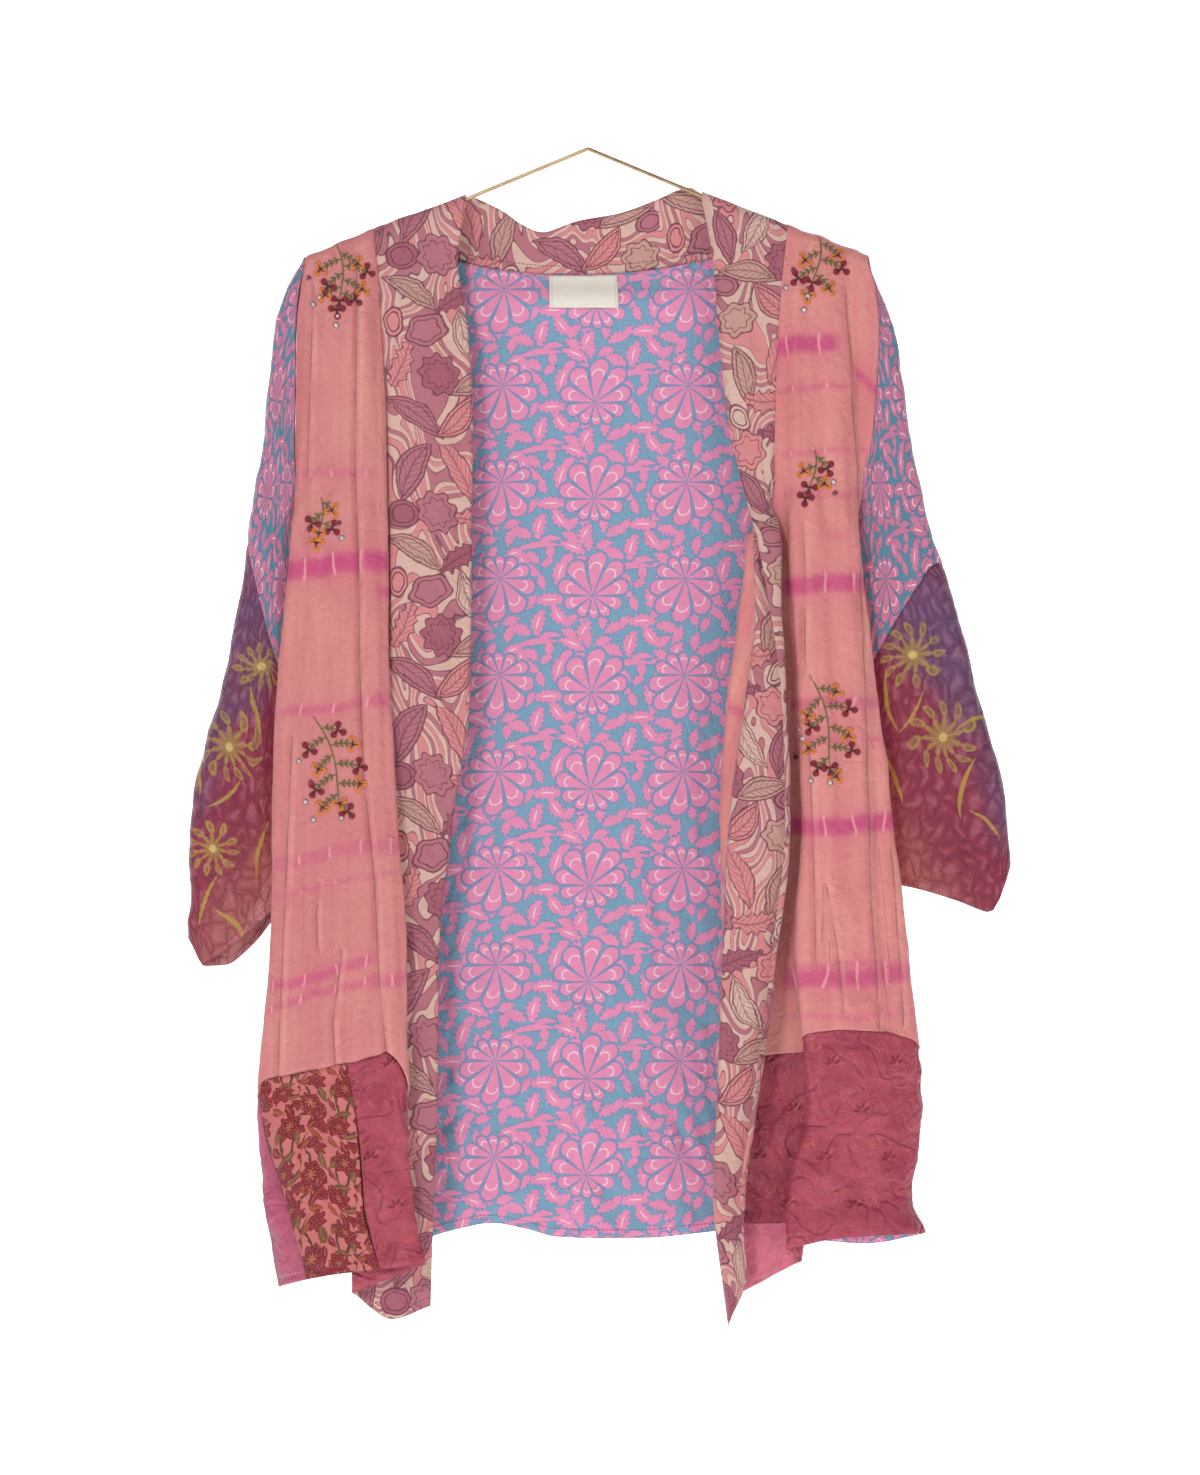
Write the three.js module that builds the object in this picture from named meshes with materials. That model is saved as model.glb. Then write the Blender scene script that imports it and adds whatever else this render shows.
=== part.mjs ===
// Open-front patchwork silk kimono hanging on a bent brass wire hanger.
// Millimetres. Origin at the apex of the hanger, X to the viewer's right,
// the front of the garment faces -Y, Z is up.
import * as THREE from 'three';

// ---------------------------------------------------------------- sizes
const CLOTH = 1.2;          // thickness of one layer of cloth
const SEAM = 0.3;           // gap left between two sewn pieces
const WIRE = 3.0;           // hanger wire diameter
const WIRE_SHOULDER = [98, -40.4];   // where the arm's slope changes, x and z
const WIRE_TIP = [222.5, -89.4];       // end of each arm
const SHOULDER_BACK = [5.0, 8.0];    // shoulder seam: depth behind, drop below the top
const BAND_END = [2.9, 2.4];           // the same for the band's free edge
const SHOULDER_FRONT = [-4.5, 6.0];  // first row in front of the wire
const FOLD_X = 3.0;         // how far a fold's rounding reaches along the cloth
const FOLD_Y = 3.5;         // and through it
const LABEL_LIFT = -1.6;    // label's mid-surface, inside the back's

// Heights of the rows that both fronts and the back share.
const LEVELS = [-144.8, -216.8, -272.8, -312.8, -368.8, -440.8, -536.8, -648.8, -760.8, -832.8];

// ------------------------------------------------------- fronts: ribs
// One rib for each lengthwise line of a front: its x at every row.
// Rows: shoulder top, below the shoulder, the ten LEVELS, hem.
const LEFT_X = {
  side:  [-226.4, -229.0, -232.8, -233.6, -235.0, -220.8, -218.0, -216.0, -217.6, -227.2, -256.0, -252.0, -243.2],
  edge:  [-222.4, -225.0, -228.5, -229.0, -231.0, -236.8, -243.2, -248.2, -252.0, -254.4, -264.0, -259.2, -248.0],
  mid:   [-202.4, -204.8, -208.0, -209.6, -210.4, -211.2, -213.6, -216.0, -214.4, -212.8, -216.0, -212.8, -210.4],
  ridge: [-184.8, -184.8, -184.0, -184.8, -184.0, -183.2, -181.6, -178.8, -172.0, -165.6, -156.8, -162.4, -168.0],
  turn:  [-175.2, -172.8, -168.0, -163.2, -161.6, -160.0, -159.0, -157.0, -150.4, -143.2, -143.2, -138.4, -128.8],
  seam:  [-171.2, -168.8, -164.8, -160.8, -160.0, -159.2, -159.0, -160.8, -172.8, -180.8, -185.6, -187.2, -187.2],
  band:  [-134.4, -135.2, -130.4, -126.4, -126.0, -125.6, -125.6, -126.4, -139.2, -149.6, -152.8, -155.2, -156.0],
  free:  [-97.6, -104.0, -96.0, -92.0, -92.4, -92.8, -93.2, -94.4, -108.0, -119.2, -120.0, -122.8, -125.6],
};
// The same ribs' depth, from the row below the shoulder down.
const LEFT_Y = {
  side:  [-5, -8, -9, -2.5, -1, 0, 1, 2, 3, 4, 4, 5],
  edge:  [-6, -9.5, -11, -8, -15, -17, -18, -20, -21, -18, -18, -20],
  mid:   [-8, -14, -17, -20, -23, -25, -28, -31, -33, -35, -35, -36],
  ridge: [-9, -18, -21, -24, -27, -30, -33, -37, -40, -41, -42, -43],
  turn:  [-9, -15, -18, -21, -24, -27, -30, -34, -37, -38, -39, -40],
  seam:  [-8, -13, -14, -15, -16, -18, -21, -25, -28, -29, -30, -31],
  band:  [-9, -16, -18, -20, -21, -22, -22.5, -20, -21, -22, -23, -24],
  free:  [-8, -12, -12, -12, -12, -12, -12, -13, -14, -15, -16, -17],
};
const LEFT_FOLDS = ['edge', 'turn', 'seam'];
const LEFT_TOP_Z = [-86.4, -84.7, -76.3, -68.9, -64.9, -63.2, -49.8, -36.4];
const LEFT_NECK_Z = [-106.4, -104.0, -98.4, -95.2, -92.0, -90.4, -90.4, -89.6];
const LEFT_HEM_Z = [-908.0, -908.8, -899.2, -893.6, -889.6, -912.8, -934.4, -924.0];

const RIGHT_X = {
  side:   [224.0, 228.0, 232.5, 228.5, 219.2, 210.4, 207.0, 209.0, 214.4, 227.2, 251.2, 250.0, 260.8],
  edge:   [211.2, 208.8, 208.0, 213.6, 215.2, 217.6, 224.0, 232.6, 242.4, 255.2, 266.0, 258.0, 268.8],
  mid:    [196.8, 195.2, 195.2, 198.4, 200.0, 203.0, 209.0, 215.6, 222.4, 228.8, 238.4, 238.0, 244.0],
  crease: [180.8, 176.0, 174.4, 176.0, 177.6, 180.4, 184.0, 188.0, 193.6, 196.8, 203.2, 204.0, 204.0],
  turn:   [169.6, 163.2, 161.2, 160.2, 160.5, 161.6, 162.8, 167.2, 169.6, 165.6, 175.2, 159.2, 158.4],
  valley: [166.4, 160.8, 158.0, 156.4, 157.5, 163.0, 166.4, 175.2, 177.6, 174.4, 182.4, 173.6, 171.2],
  rear:   [164.4, 159.6, 156.4, 154.6, 153.0, 150.0, 143.0, 143.0, 141.0, 142.0, 150.0, 146.0, 147.0],
  roll:   [162.4, 158.4, 154.8, 152.8, 148.6, 127.2, 119.6, 110.8, 104.0, 108.8, 117.6, 118.0, 123.2],
  seam:   [159.2, 156.0, 152.0, 149.0, 148.0, 131.2, 132.8, 124.8, 112.0, 106.0, 102.4, 99.2, 111.2],
  band:   [125.6, 127.2, 128.0, 131.2, 140.0, 152.8, 154.0, 157.6, 160.8, 149.6, 135.2, 124.8, 120.0],
  free:   [91.2, 100.0, 104.0, 112.0, 124.0, 134.4, 144.8, 154.4, 156.8, 145.6, 131.2, 121.6, 126.4],
};
const RIGHT_Y = {
  side:   [-5, -8, -9, -2.5, -1, 0, 1, 2, 3, 4, 4, 5],
  edge:   [-7, -11, -13, -10, -16, -18, -20, -21, -22, -20, -20, -20],
  mid:    [-9, -16, -19, -21, -23, -26, -29, -31, -33, -34, -35, -36],
  crease: [-10, -18, -21, -25, -27, -30, -34, -37, -39, -40, -41, -42],
  turn:   [-9, -15, -18, -21, -24, -28, -31, -34, -36, -37, -38, -39],
  valley: [-8.5, -14, -16, -18, -18, -20, -22, -24, -26, -27, -28, -29],
  rear:   [-8.5, -13.7, -15.7, -16.5, -14, -13, -14, -15, -16, -17, -18, -19],
  roll:   [-8.5, -13.5, -15.4, -16.8, -18, -19, -21, -23, -24, -25, -26, -27],
  seam:   [-8.5, -13, -15, -18, -24.5, -27, -29, -31, -32, -33, -34, -35],
  band:   [-9, -15, -18, -22, -30, -33, -36, -38, -39, -40, -41, -42],
  free:   [-8, -12, -14, -21, -34.5, -38.5, -41, -43, -44, -45, -46, -47],
};
const RIGHT_FOLDS = ['edge', 'turn', 'valley', 'roll', 'seam', 'band'];
const RIGHT_TOP_Z = [-85.9, -80.9, -75.3, -69.1, -64.7, -63.5, -62.7, -61.9, -60.7, -47.5, -34.2];
const RIGHT_NECK_Z = [-104.8, -100.8, -96.8, -95.2, -95.2, -95.2, -95.2, -95.2, -95.2, -93.6, -90.4];
const RIGHT_HEM_Z = [-869.6, -865.6, -866.4, -868.0, -877.6, -887.2, -900.0, -912.8, -938.4, -917.6, -900.0];

// ------------------------------------------------------- back and collar
// Columns from the left armhole to the right one. seam is the line where the
// back meets the shoulders and the collar, top is the collar's upper edge.
const BACK_SEAM = [
  // x, y, z
  [-226.4, 5.0, -94.4], [-200.0, 5.0, -83.3], [-171.2, 5.0, -71.2], [-150, 10, -79],
  [-125, 14, -85.5], [-104, 17, -89], [-77.6, 18, -94.5], [-52, 19, -97.6],
  [-31.2, 20, -99.2], [0, 20, -99.2], [35, 20, -97.3], [68, 19, -92.8],
  [99, 17, -86.4], [122, 13.5, -79.5], [142, 9.5, -73.5], [159.2, 5.0, -68.7],
  [192, 5.0, -81.5], [224, 5.0, -93.9],
];
const COLLAR_TOP = [
  [-226.4, 0, -86.4], [-200, 0, -75.3], [-97.6, 2.9, -38.8], [-94, 6, -37.2],
  [-88, 9, -39.5], [-80, 11, -43], [-68, 12, -49], [-53, 13, -59.5],
  [-36, 14, -65.6], [-8, 15, -56.5], [25, 14, -50.4], [52, 12, -41],
  [73, 10, -32.0], [81, 8, -30.4], [87, 5.8, -33.5], [91.2, 2.9, -36.6],
  [192, 0, -73.4], [224, 0, -85.9],
];
const COLLAR_FROM = 2, COLLAR_TO = 15;          // columns the collar spans
const COLLAR_INSET = 0.23;                      // room for the front bands' ends
const BACK_UPPER_Z = -121;                      // one row between the neck and LEVELS
const BACK_DEPTH = [12, 15, 17, 18, 19, 20, 21, 22, 23, 24, 24.5, 25];
const BACK_SIDE_UPPER = [[-230.5, 7.5], [229.8, 7.5]];
const BACK_ARMHOLE_Y = [8, 8];                  // at the first two LEVELS
const BACK_HEM_Z = [-908, -903, -893, -883, -873, -866, -861, -866, -872, -873,
  -873, -869, -866, -869, -872, -875, -877, -869.6];
// Vertical folds of the back: centre x, half width, depth, first and last height.
const BACK_FOLDS = [
  { x: -96, w: 16, d: -2.6, from: -560, to: -900 },
  { x: -38, w: 18, d: 2.2, from: -700, to: -900 },
  { x: 8, w: 20, d: -2.8, from: -640, to: -900 },
  { x: 55, w: 15, d: 3.2, from: -380, to: -900 },
  { x: 92, w: 16, d: -2.4, from: -560, to: -900 },
];

// ------------------------------------------------------- sleeves
// Stations down each sleeve: outer fold (x, z), underarm (x, z), half depth.
const LEFT_SLEEVE = [
  { ox: -249.0, oz: -140.8, ix: -234.5, iz: -312, h: 9 },
  { ox: -257.5, oz: -220.0, ix: -238.0, iz: -366, h: 10 },
  { ox: -269.5, oz: -300.8, ix: -240.5, iz: -418, h: 11 },
  { ox: -277.6, oz: -360.8, ix: -242.0, iz: -458, h: 11 },
  { ox: -294.4, oz: -440.8, ix: -244.5, iz: -508, h: 11 },
  { ox: -315.0, oz: -520.8, ix: -246.5, iz: -552, h: 11 },
];
const LEFT_CUFF = {  // from the underarm to the outer fold
  x: [-248, -268, -290, -307, -319.5], front: [-605, -623, -641, -650.5, -631], back: [-612, -636, -653, -654, -631], h: 10,
};
const RIGHT_SLEEVE = [
  { ox: 247.0, oz: -152.0, ix: 216.0, iz: -310, h: 9 },
  { ox: 258.5, oz: -228.0, ix: 219.0, iz: -360, h: 10 },
  { ox: 272.5, oz: -296.0, ix: 224.0, iz: -408, h: 11 },
  { ox: 292.0, oz: -360.8, ix: 228.5, iz: -448, h: 11 },
  { ox: 313.6, oz: -440.8, ix: 234.5, iz: -498, h: 11 },
  { ox: 335.0, oz: -520.8, ix: 239.5, iz: -540, h: 11 },
];
const RIGHT_CUFF = {
  x: [245, 266, 294, 321, 338.5], front: [-588, -592.5, -601, -610.5, -572], back: [-586, -588, -597, -608, -572], h: 10,
};
const ARMHOLE_CLEAR = { left: 0.9, right: 2.2 };    // where the sleeve lies close along the armhole
const SLEEVE_PATCH = { left: [3.15, 3.55], right: [3.6, 3.2] };  // patch seam: stations at outer fold and underarm

// ------------------------------------------------------- patch seams of the hems
// v is counted in rows of the front; u in its ribs (0 side seam, 1 edge, ...).
const LEFT_PATCH_TOP = [[0, -752], [1, -755], [2, -731.5], [3, -717], [4, -751], [5, -748]];
const LEFT_PLAIN_FLORAL = [1.02, 1.84];       // rib position at the top and at the hem
const LEFT_FLORAL_RASPBERRY = [2.38, 3.04];
const RIGHT_PATCH_TOP = [[0, -719], [1, -716], [2, -702], [3, -700], [4, -707], [5, -714], [6, -720], [7, -727], [8, -735]];
const RIGHT_INNER_TOP = -857;                 // where the pale piece starts

// ---------------------------------------------------------------- maths
const clamp = (x, a, b) => Math.min(b, Math.max(a, x));
const lerp = (a, b, t) => a + (b - a) * t;
const sub = (a, b) => [a[0] - b[0], a[1] - b[1], a[2] - b[2]];
const add = (a, b, s = 1) => [a[0] + b[0] * s, a[1] + b[1] * s, a[2] + b[2] * s];
const unit = (a) => { const l = Math.hypot(...a) || 1; return [a[0] / l, a[1] / l, a[2] / l]; };
const cross = (a, b) => [a[1] * b[2] - a[2] * b[1], a[2] * b[0] - a[0] * b[2], a[0] * b[1] - a[1] * b[0]];

// Slope of a curve that never swings past its points: zero at a turning point.
function slope(a, b) { return a * b <= 0 ? 0 : 2 * a * b / (a + b); }
function monotone(get, n, t) {
  const i = clamp(Math.floor(t), 0, n - 2), f = t - i;
  const p0 = get(i), p1 = get(i + 1), d = p1 - p0;
  const before = i > 0 ? p0 - get(i - 1) : d, after = i < n - 2 ? get(i + 2) - p1 : d;
  const m0 = slope(before, d), m1 = slope(d, after);
  const f2 = f * f, f3 = f2 * f;
  return p0 * (2 * f3 - 3 * f2 + 1) + m0 * (f3 - 2 * f2 + f) + p1 * (3 * f2 - 2 * f3) + m1 * (f3 - f2);
}
// A table read between its entries with straight lines.
function table(rows, u) {
  const i = clamp(rows.findIndex((r) => r[0] >= u), 1, rows.length - 1);
  const [u0, a] = rows[i - 1], [u1, b] = rows[i];
  return lerp(a, b, clamp((u - u0) / (u1 - u0), 0, 1));
}

// ---------------------------------------------------------------- cloth
// A cloth is a smooth surface through a grid of points, grid[row][column].
class Cloth {
  constructor(grid, names = []) { this.grid = grid; this.names = names; this.rows = grid.length; this.cols = grid[0].length; }
  at(u, v) {
    const i = clamp(Math.floor(v), 0, this.rows - 2);
    const lo = Math.max(0, i - 1), hi = Math.min(this.rows - 1, i + 2);
    const cuts = [];
    for (let r = lo; r <= hi; r++) cuts[r] = [0, 1, 2].map((k) => monotone((c) => this.grid[r][c][k], this.cols, u));
    return [0, 1, 2].map((k) => monotone((r) => cuts[clamp(r, lo, hi)][k], this.rows, v));
  }
  normal(u, v) {
    const e = 0.02;
    const du = sub(this.at(Math.min(this.cols - 1, u + e), v), this.at(Math.max(0, u - e), v));
    const dv = sub(this.at(u, Math.min(this.rows - 1, v + e)), this.at(u, Math.max(0, v - e)));
    return unit(cross(du, dv));
  }
  col(name) { return this.names.indexOf(name); }
  // row position of a height in one column
  rowAt(z, u) {
    for (let i = 2; i < this.rows - 1; i++) {
      const a = this.at(u, i)[2], b = this.at(u, i + 1)[2];
      if (z <= a && z >= b) return i + (a - z) / (a - b);
    }
    return this.rows - 1;
  }
}

// A fold's column becomes three, so that the turn is round and not a knife edge.
function foldOut(ribs, folds, points) {
  const names = [], cols = [];
  ribs.forEach((rib, c) => {
    const fold = folds.includes(rib) && c > 0 && c < ribs.length - 1;
    for (const step of fold ? [-1, 0, 1] : [0]) {
      names.push(rib + ['-', '', '+'][step + 1]);
      cols.push([c, step]);
    }
  });
  const grid = points.map((row) => cols.map(([c, step]) => {
    if (!step) return row[c];
    const p = row[c], d = sub(row[c + step], p);
    const along = Math.sign(d[0]) * Math.min(FOLD_X, 0.4 * Math.abs(d[0]));
    const through = Math.sign(d[1]) * Math.min(FOLD_Y, 0.42 * Math.abs(d[1]) + 0.38 * Math.max(0, Math.abs(d[1]) - 2));
    const share = Math.abs(d[0]) > 1e-6 ? along / d[0] : 0.4;
    return [p[0] + along, p[1] + through, p[2] + d[2] * share];
  }));
  return { names, grid };
}

function front(X, Y, folds, topZ, neckZ, hemZ) {
  const ribs = Object.keys(X);
  const rows = [];
  const n = LEVELS.length;
  const end = ribs.length - 1, sewn = ribs.indexOf('seam');
  rows.push(ribs.map((r, c) => {
    const w = Math.max(0, (X[r][0] - X.seam[0]) / (X.free[0] - X.seam[0]));
    const z = c <= sewn ? topZ[c] - SHOULDER_BACK[1] : lerp(topZ[sewn] - SHOULDER_BACK[1], topZ[end] - BAND_END[1], w);
    return [X[r][0], c <= sewn ? SHOULDER_BACK[0] : lerp(SHOULDER_BACK[0], BAND_END[0], w), z];
  }));
  rows.push(ribs.map((r, c) => [X[r][0], 0, topZ[c]]));
  rows.push(ribs.map((r, c) => [X[r][0], SHOULDER_FRONT[0], topZ[c] - SHOULDER_FRONT[1]]));
  rows.push(ribs.map((r, c) => [X[r][1], Y[r][0], neckZ[c]]));
  for (let i = 0; i < n; i++) rows.push(ribs.map((r) => [X[r][i + 2], Y[r][i + 1], LEVELS[i]]));
  rows.push(ribs.map((r, c) => [X[r][n + 2], Y[r][n + 1], hemZ[c]]));
  const { names, grid } = foldOut(ribs, folds, rows);
  return new Cloth(grid, names);
}

const left = front(LEFT_X, LEFT_Y, LEFT_FOLDS, LEFT_TOP_Z, LEFT_NECK_Z, LEFT_HEM_Z);
const right = front(RIGHT_X, RIGHT_Y, RIGHT_FOLDS, RIGHT_TOP_Z, RIGHT_NECK_Z, RIGHT_HEM_Z);

function backCloth() {
  const n = BACK_SEAM.length, last = n - 1;
  const share = BACK_SEAM.map((p) => (p[0] - BACK_SEAM[0][0]) / (BACK_SEAM[last][0] - BACK_SEAM[0][0]));
  const rows = [COLLAR_TOP, BACK_SEAM];
  const wave = (x, z) => BACK_FOLDS.reduce((s, f) => s
    + f.d * Math.exp(-(((x - f.x) / f.w) ** 2)) * clamp((f.from - z) / (f.from - f.to) * 1.6, 0, 1), 0);
  const level = (xl, yl, xr, yr, depth, zs) => share.map((s, c) => {
    const x = lerp(xl, xr, s);
    if (c === 0) return [xl, yl, zs[0]];
    if (c === last) return [xr, yr, zs[last]];
    const inset = Math.min(1, Math.min(s, 1 - s) / 0.13);
    const y = lerp(s < 0.5 ? yl : yr, depth, Math.sin(inset * Math.PI / 2));
    return [x, y + wave(x, zs[c]), zs[c]];
  });
  rows.push(level(...BACK_SIDE_UPPER[0], ...BACK_SIDE_UPPER[1], BACK_DEPTH[0],
    BACK_SEAM.map((p) => Math.min(BACK_UPPER_Z, p[2] - 18))));
  const k = LEVELS.length;
  for (let i = 0; i <= k; i++) {
    const y = (Y) => (i < 2 ? BACK_ARMHOLE_Y[i] : Y.side[i + 1] + (i === 2 ? CLOTH : 0));
    rows.push(level(LEFT_X.side[i + 2], y(LEFT_Y), RIGHT_X.side[i + 2], y(RIGHT_Y), BACK_DEPTH[i + 1],
      i < k ? BACK_SEAM.map(() => LEVELS[i]) : BACK_HEM_Z));
  }
  return new Cloth(rows);
}
const back = backCloth();
const BACK_LAST = BACK_SEAM.length - 1;

function sleeveCloth(body, backU, stations, cuff, clear) {
  const rows = [];
  rows.push([
    ...[6, 5, 4, 3, 2, 1, 0].map((v) => body.at(0, v)),
    ...[2, 3, 4, 5].map((v) => back.at(backU, v)),
  ]);
  // just outside the body's armhole
  rows[0] = rows[0].map((p, k) => add(p, [Math.sign(p[0]) * (Math.abs(k - 5) < 2 ? 0.2 : clear), 0, 0]));
  // the two edges of the underarm seam lie side by side
  rows[0][0] = add(rows[0][0], [0, -CLOTH / 2 - SEAM / 2, 0]);
  rows[0][10] = add(rows[0][10], [0, CLOTH / 2 + SEAM / 2, 0]);
  const across = [[0, 0], [0.33, 0.8], [0.66, 1], [0.9, 0.85]];
  for (const s of stations) {
    const side = (sign) => across.map(([f, d]) => [lerp(s.ix, s.ox, f),
      sign * Math.max(CLOTH / 2 + SEAM / 2, s.h * d), lerp(s.iz, s.oz, f)]);
    const front = side(-1), rear = side(1).reverse();
    const lip = (y) => [lerp(s.ix, s.ox, 0.975), y, lerp(s.iz, s.oz, 0.975)];
    rows.push([...front, lip(-s.h * 0.5), [s.ox, 0, s.oz], lip(s.h * 0.5), ...rear]);
  }
  const y = [CLOTH / 2 + SEAM / 2, cuff.h * 0.8, cuff.h, cuff.h * 0.85];
  const front = y.map((d, i) => [cuff.x[i], -d, cuff.front[i]]);
  const rear = y.map((d, i) => [cuff.x[i], d, cuff.back[i]]).reverse();
  const lip = (d, z) => [lerp(cuff.x[3], cuff.x[4], 0.78), d, lerp(z, cuff.front[4], 0.7)];
  rows.push([...front, lip(-cuff.h * 0.5, cuff.front[3]), [cuff.x[4], 0, cuff.front[4]], lip(cuff.h * 0.5, cuff.back[3]), ...rear]);
  return new Cloth(rows);
}
const sleeveLeft = sleeveCloth(left, 0, LEFT_SLEEVE, LEFT_CUFF, ARMHOLE_CLEAR.left);
const sleeveRight = sleeveCloth(right, BACK_LAST, RIGHT_SLEEVE, RIGHT_CUFF, ARMHOLE_CLEAR.right);

// ---------------------------------------------------------------- solids
// Positions from a to b, each whole step cut into the count its table names.
function steps(a, b, counts) {
  const out = [a];
  for (let i = Math.floor(a); i < b; i++) {
    const n = Array.isArray(counts) ? counts[i] : counts;
    for (let j = 1; j <= n; j++) {
      const t = i + j / n;
      if (t > a + 0.12 && t < b - 0.12) out.push(t);
    }
  }
  out.push(b);
  return out;
}

// A piece of cloth with its real thickness. place(i, j) gives u and v; pull says
// which of the four edges (first u, last u, first v, last v) are sewn and drawn in.
function piece(name, cloth, nu, nv, place, pull, lift = 0) {
  const mid = [], nor = [];
  for (let j = 0; j < nv; j++) for (let i = 0; i < nu; i++) {
    const [u, v] = place(i, j);
    mid.push(cloth.at(u, v)); nor.push(cloth.normal(u, v));
  }
  const id = (i, j) => j * nu + i;
  // a sewn edge is drawn in square to itself, within the cloth
  const moved = mid.map((p) => p);
  const draw = (line, inner, s) => line.forEach((k, q) => {
    const before = mid[line[Math.max(0, q - 1)]], after = mid[line[Math.min(line.length - 1, q + 1)]];
    const along = unit(sub(after, before)), h1 = unit(sub(mid[k], before)), h2 = unit(sub(after, mid[k]));
    const bend = q > 0 && q < line.length - 1 ? Math.max(0.6, Math.sqrt((1 + h1[0] * h2[0] + h1[1] * h2[1] + h1[2] * h2[2]) / 2)) : 1;
    let way = unit(cross(nor[k], along));
    const to = sub(mid[inner[q]], mid[k]);
    if (way[0] * to[0] + way[1] * to[1] + way[2] * to[2] < 0) way = way.map((x) => -x);
    moved[k] = add(moved[k], way, s * SEAM / 2 / bend);
  });
  const column = (i) => Array.from({ length: nv }, (_, j) => id(i, j)), row = (j) => Array.from({ length: nu }, (_, i) => id(i, j));
  if (pull[0]) draw(column(0), column(1), pull[0]);
  if (pull[1]) draw(column(nu - 1), column(nu - 2), pull[1]);
  if (pull[2]) draw(row(0), row(1), pull[2]);
  if (pull[3]) draw(row(nv - 1), row(nv - 2), pull[3]);
  const n = nu * nv, pos = [];
  for (const side of [1, -1]) moved.forEach((p, k) => pos.push(...add(p, nor[k], lift + side * CLOTH / 2)));
  const tri = [];
  const quad = (a, b, c, d) => tri.push(a, b, c, a, c, d);
  for (let j = 0; j < nv - 1; j++) for (let i = 0; i < nu - 1; i++) {
    quad(id(i, j), id(i + 1, j), id(i + 1, j + 1), id(i, j + 1));
    quad(n + id(i, j), n + id(i, j + 1), n + id(i + 1, j + 1), n + id(i + 1, j));
  }
  for (let i = 0; i < nu - 1; i++) {
    quad(id(i + 1, 0), id(i, 0), n + id(i, 0), n + id(i + 1, 0));
    quad(id(i, nv - 1), id(i + 1, nv - 1), n + id(i + 1, nv - 1), n + id(i, nv - 1));
  }
  for (let j = 0; j < nv - 1; j++) {
    quad(id(0, j), id(0, j + 1), n + id(0, j + 1), n + id(0, j));
    quad(id(nu - 1, j + 1), id(nu - 1, j), n + id(nu - 1, j), n + id(nu - 1, j + 1));
  }
  return mesh(name, pos, tri);
}

function mesh(name, pos, tri) {
  let volume = 0;
  for (let k = 0; k < tri.length; k += 3) {
    const [a, b, c] = [0, 1, 2].map((q) => pos.slice(tri[k + q] * 3, tri[k + q] * 3 + 3));
    volume += (a[0] * (b[1] * c[2] - b[2] * c[1]) + a[1] * (b[2] * c[0] - b[0] * c[2]) + a[2] * (b[0] * c[1] - b[1] * c[0])) / 6;
  }
  if (volume < 0) for (let k = 0; k < tri.length; k += 3) [tri[k + 1], tri[k + 2]] = [tri[k + 2], tri[k + 1]];
  const g = new THREE.BufferGeometry();
  g.setAttribute('position', new THREE.Float32BufferAttribute(pos, 3));
  g.setIndex(tri);
  const m = new THREE.Mesh(g);
  m.name = name;
  return m;
}

// A piece cut square to the cloth's own lines.
function square(name, cloth, us, vs, pull, lift) {
  return piece(name, cloth, us.length, vs.length, (i, j) => [us[i], vs[j]], pull, lift);
}

// Rib position (0, 1, 2 ... in the rib table) to a column of the cloth.
function ribColumn(cloth, ribs, r) {
  const i = clamp(Math.floor(r), 0, ribs.length - 2);
  return lerp(cloth.col(ribs[i]), cloth.col(ribs[i + 1]), r - i);
}

const group = new THREE.Group();
const put = (m) => group.add(m);

// Counts of facets between neighbouring rows and columns.
const ROWS = [2, 2, 1, 2, 2, 2, 2, 2, 2, 3];
const TO_PATCH = 5, PATCH = 3;                  // facets above a patch, and in each half of it
const LEFT_COUNT = left.names.slice(0, -1).map((n) => (n === 'mid' || n === 'edge+' || n === 'ridge' ? 2 : 1));
const RIGHT_COUNT = right.names.slice(0, -1).map((n) => (n === 'mid' || n === 'edge+' || n === 'crease' || n === 'rear' ? 2 : 1));
const leftRibs = Object.keys(LEFT_X), rightRibs = Object.keys(RIGHT_X);

// Rows of one front at a column: down to the patches, and through them. Every piece
// that shares a seam takes its points from here.
function frontRows(cloth, ribs, patchTop, innerTop) {
  const last = cloth.rows - 1;
  const rib = (u) => {
    let i = 0;
    while (i < ribs.length - 2 && u > cloth.col(ribs[i + 1])) i++;
    return i + (u - cloth.col(ribs[i])) / (cloth.col(ribs[i + 1]) - cloth.col(ribs[i]));
  };
  const upper = (u) => {
    const top = cloth.rowAt(table(patchTop, rib(u)), u);
    return [...steps(0, 10, ROWS), ...Array.from({ length: TO_PATCH }, (_, i) => lerp(10, top, (i + 1) / TO_PATCH))];
  };
  const lower = (u) => {
    const top = cloth.rowAt(table(patchTop, rib(u)), u), mid = cloth.rowAt(innerTop, u);
    return [...Array.from({ length: PATCH }, (_, i) => lerp(top, mid, i / PATCH)),
      ...Array.from({ length: PATCH + 1 }, (_, i) => lerp(mid, last, i / PATCH))];
  };
  return { upper, lower, all: (u) => [...upper(u), ...lower(u).slice(1)] };
}
const leftRows = frontRows(left, leftRibs, LEFT_PATCH_TOP, RIGHT_INNER_TOP);
const rightRows = frontRows(right, rightRibs, RIGHT_PATCH_TOP, RIGHT_INNER_TOP);

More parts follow.
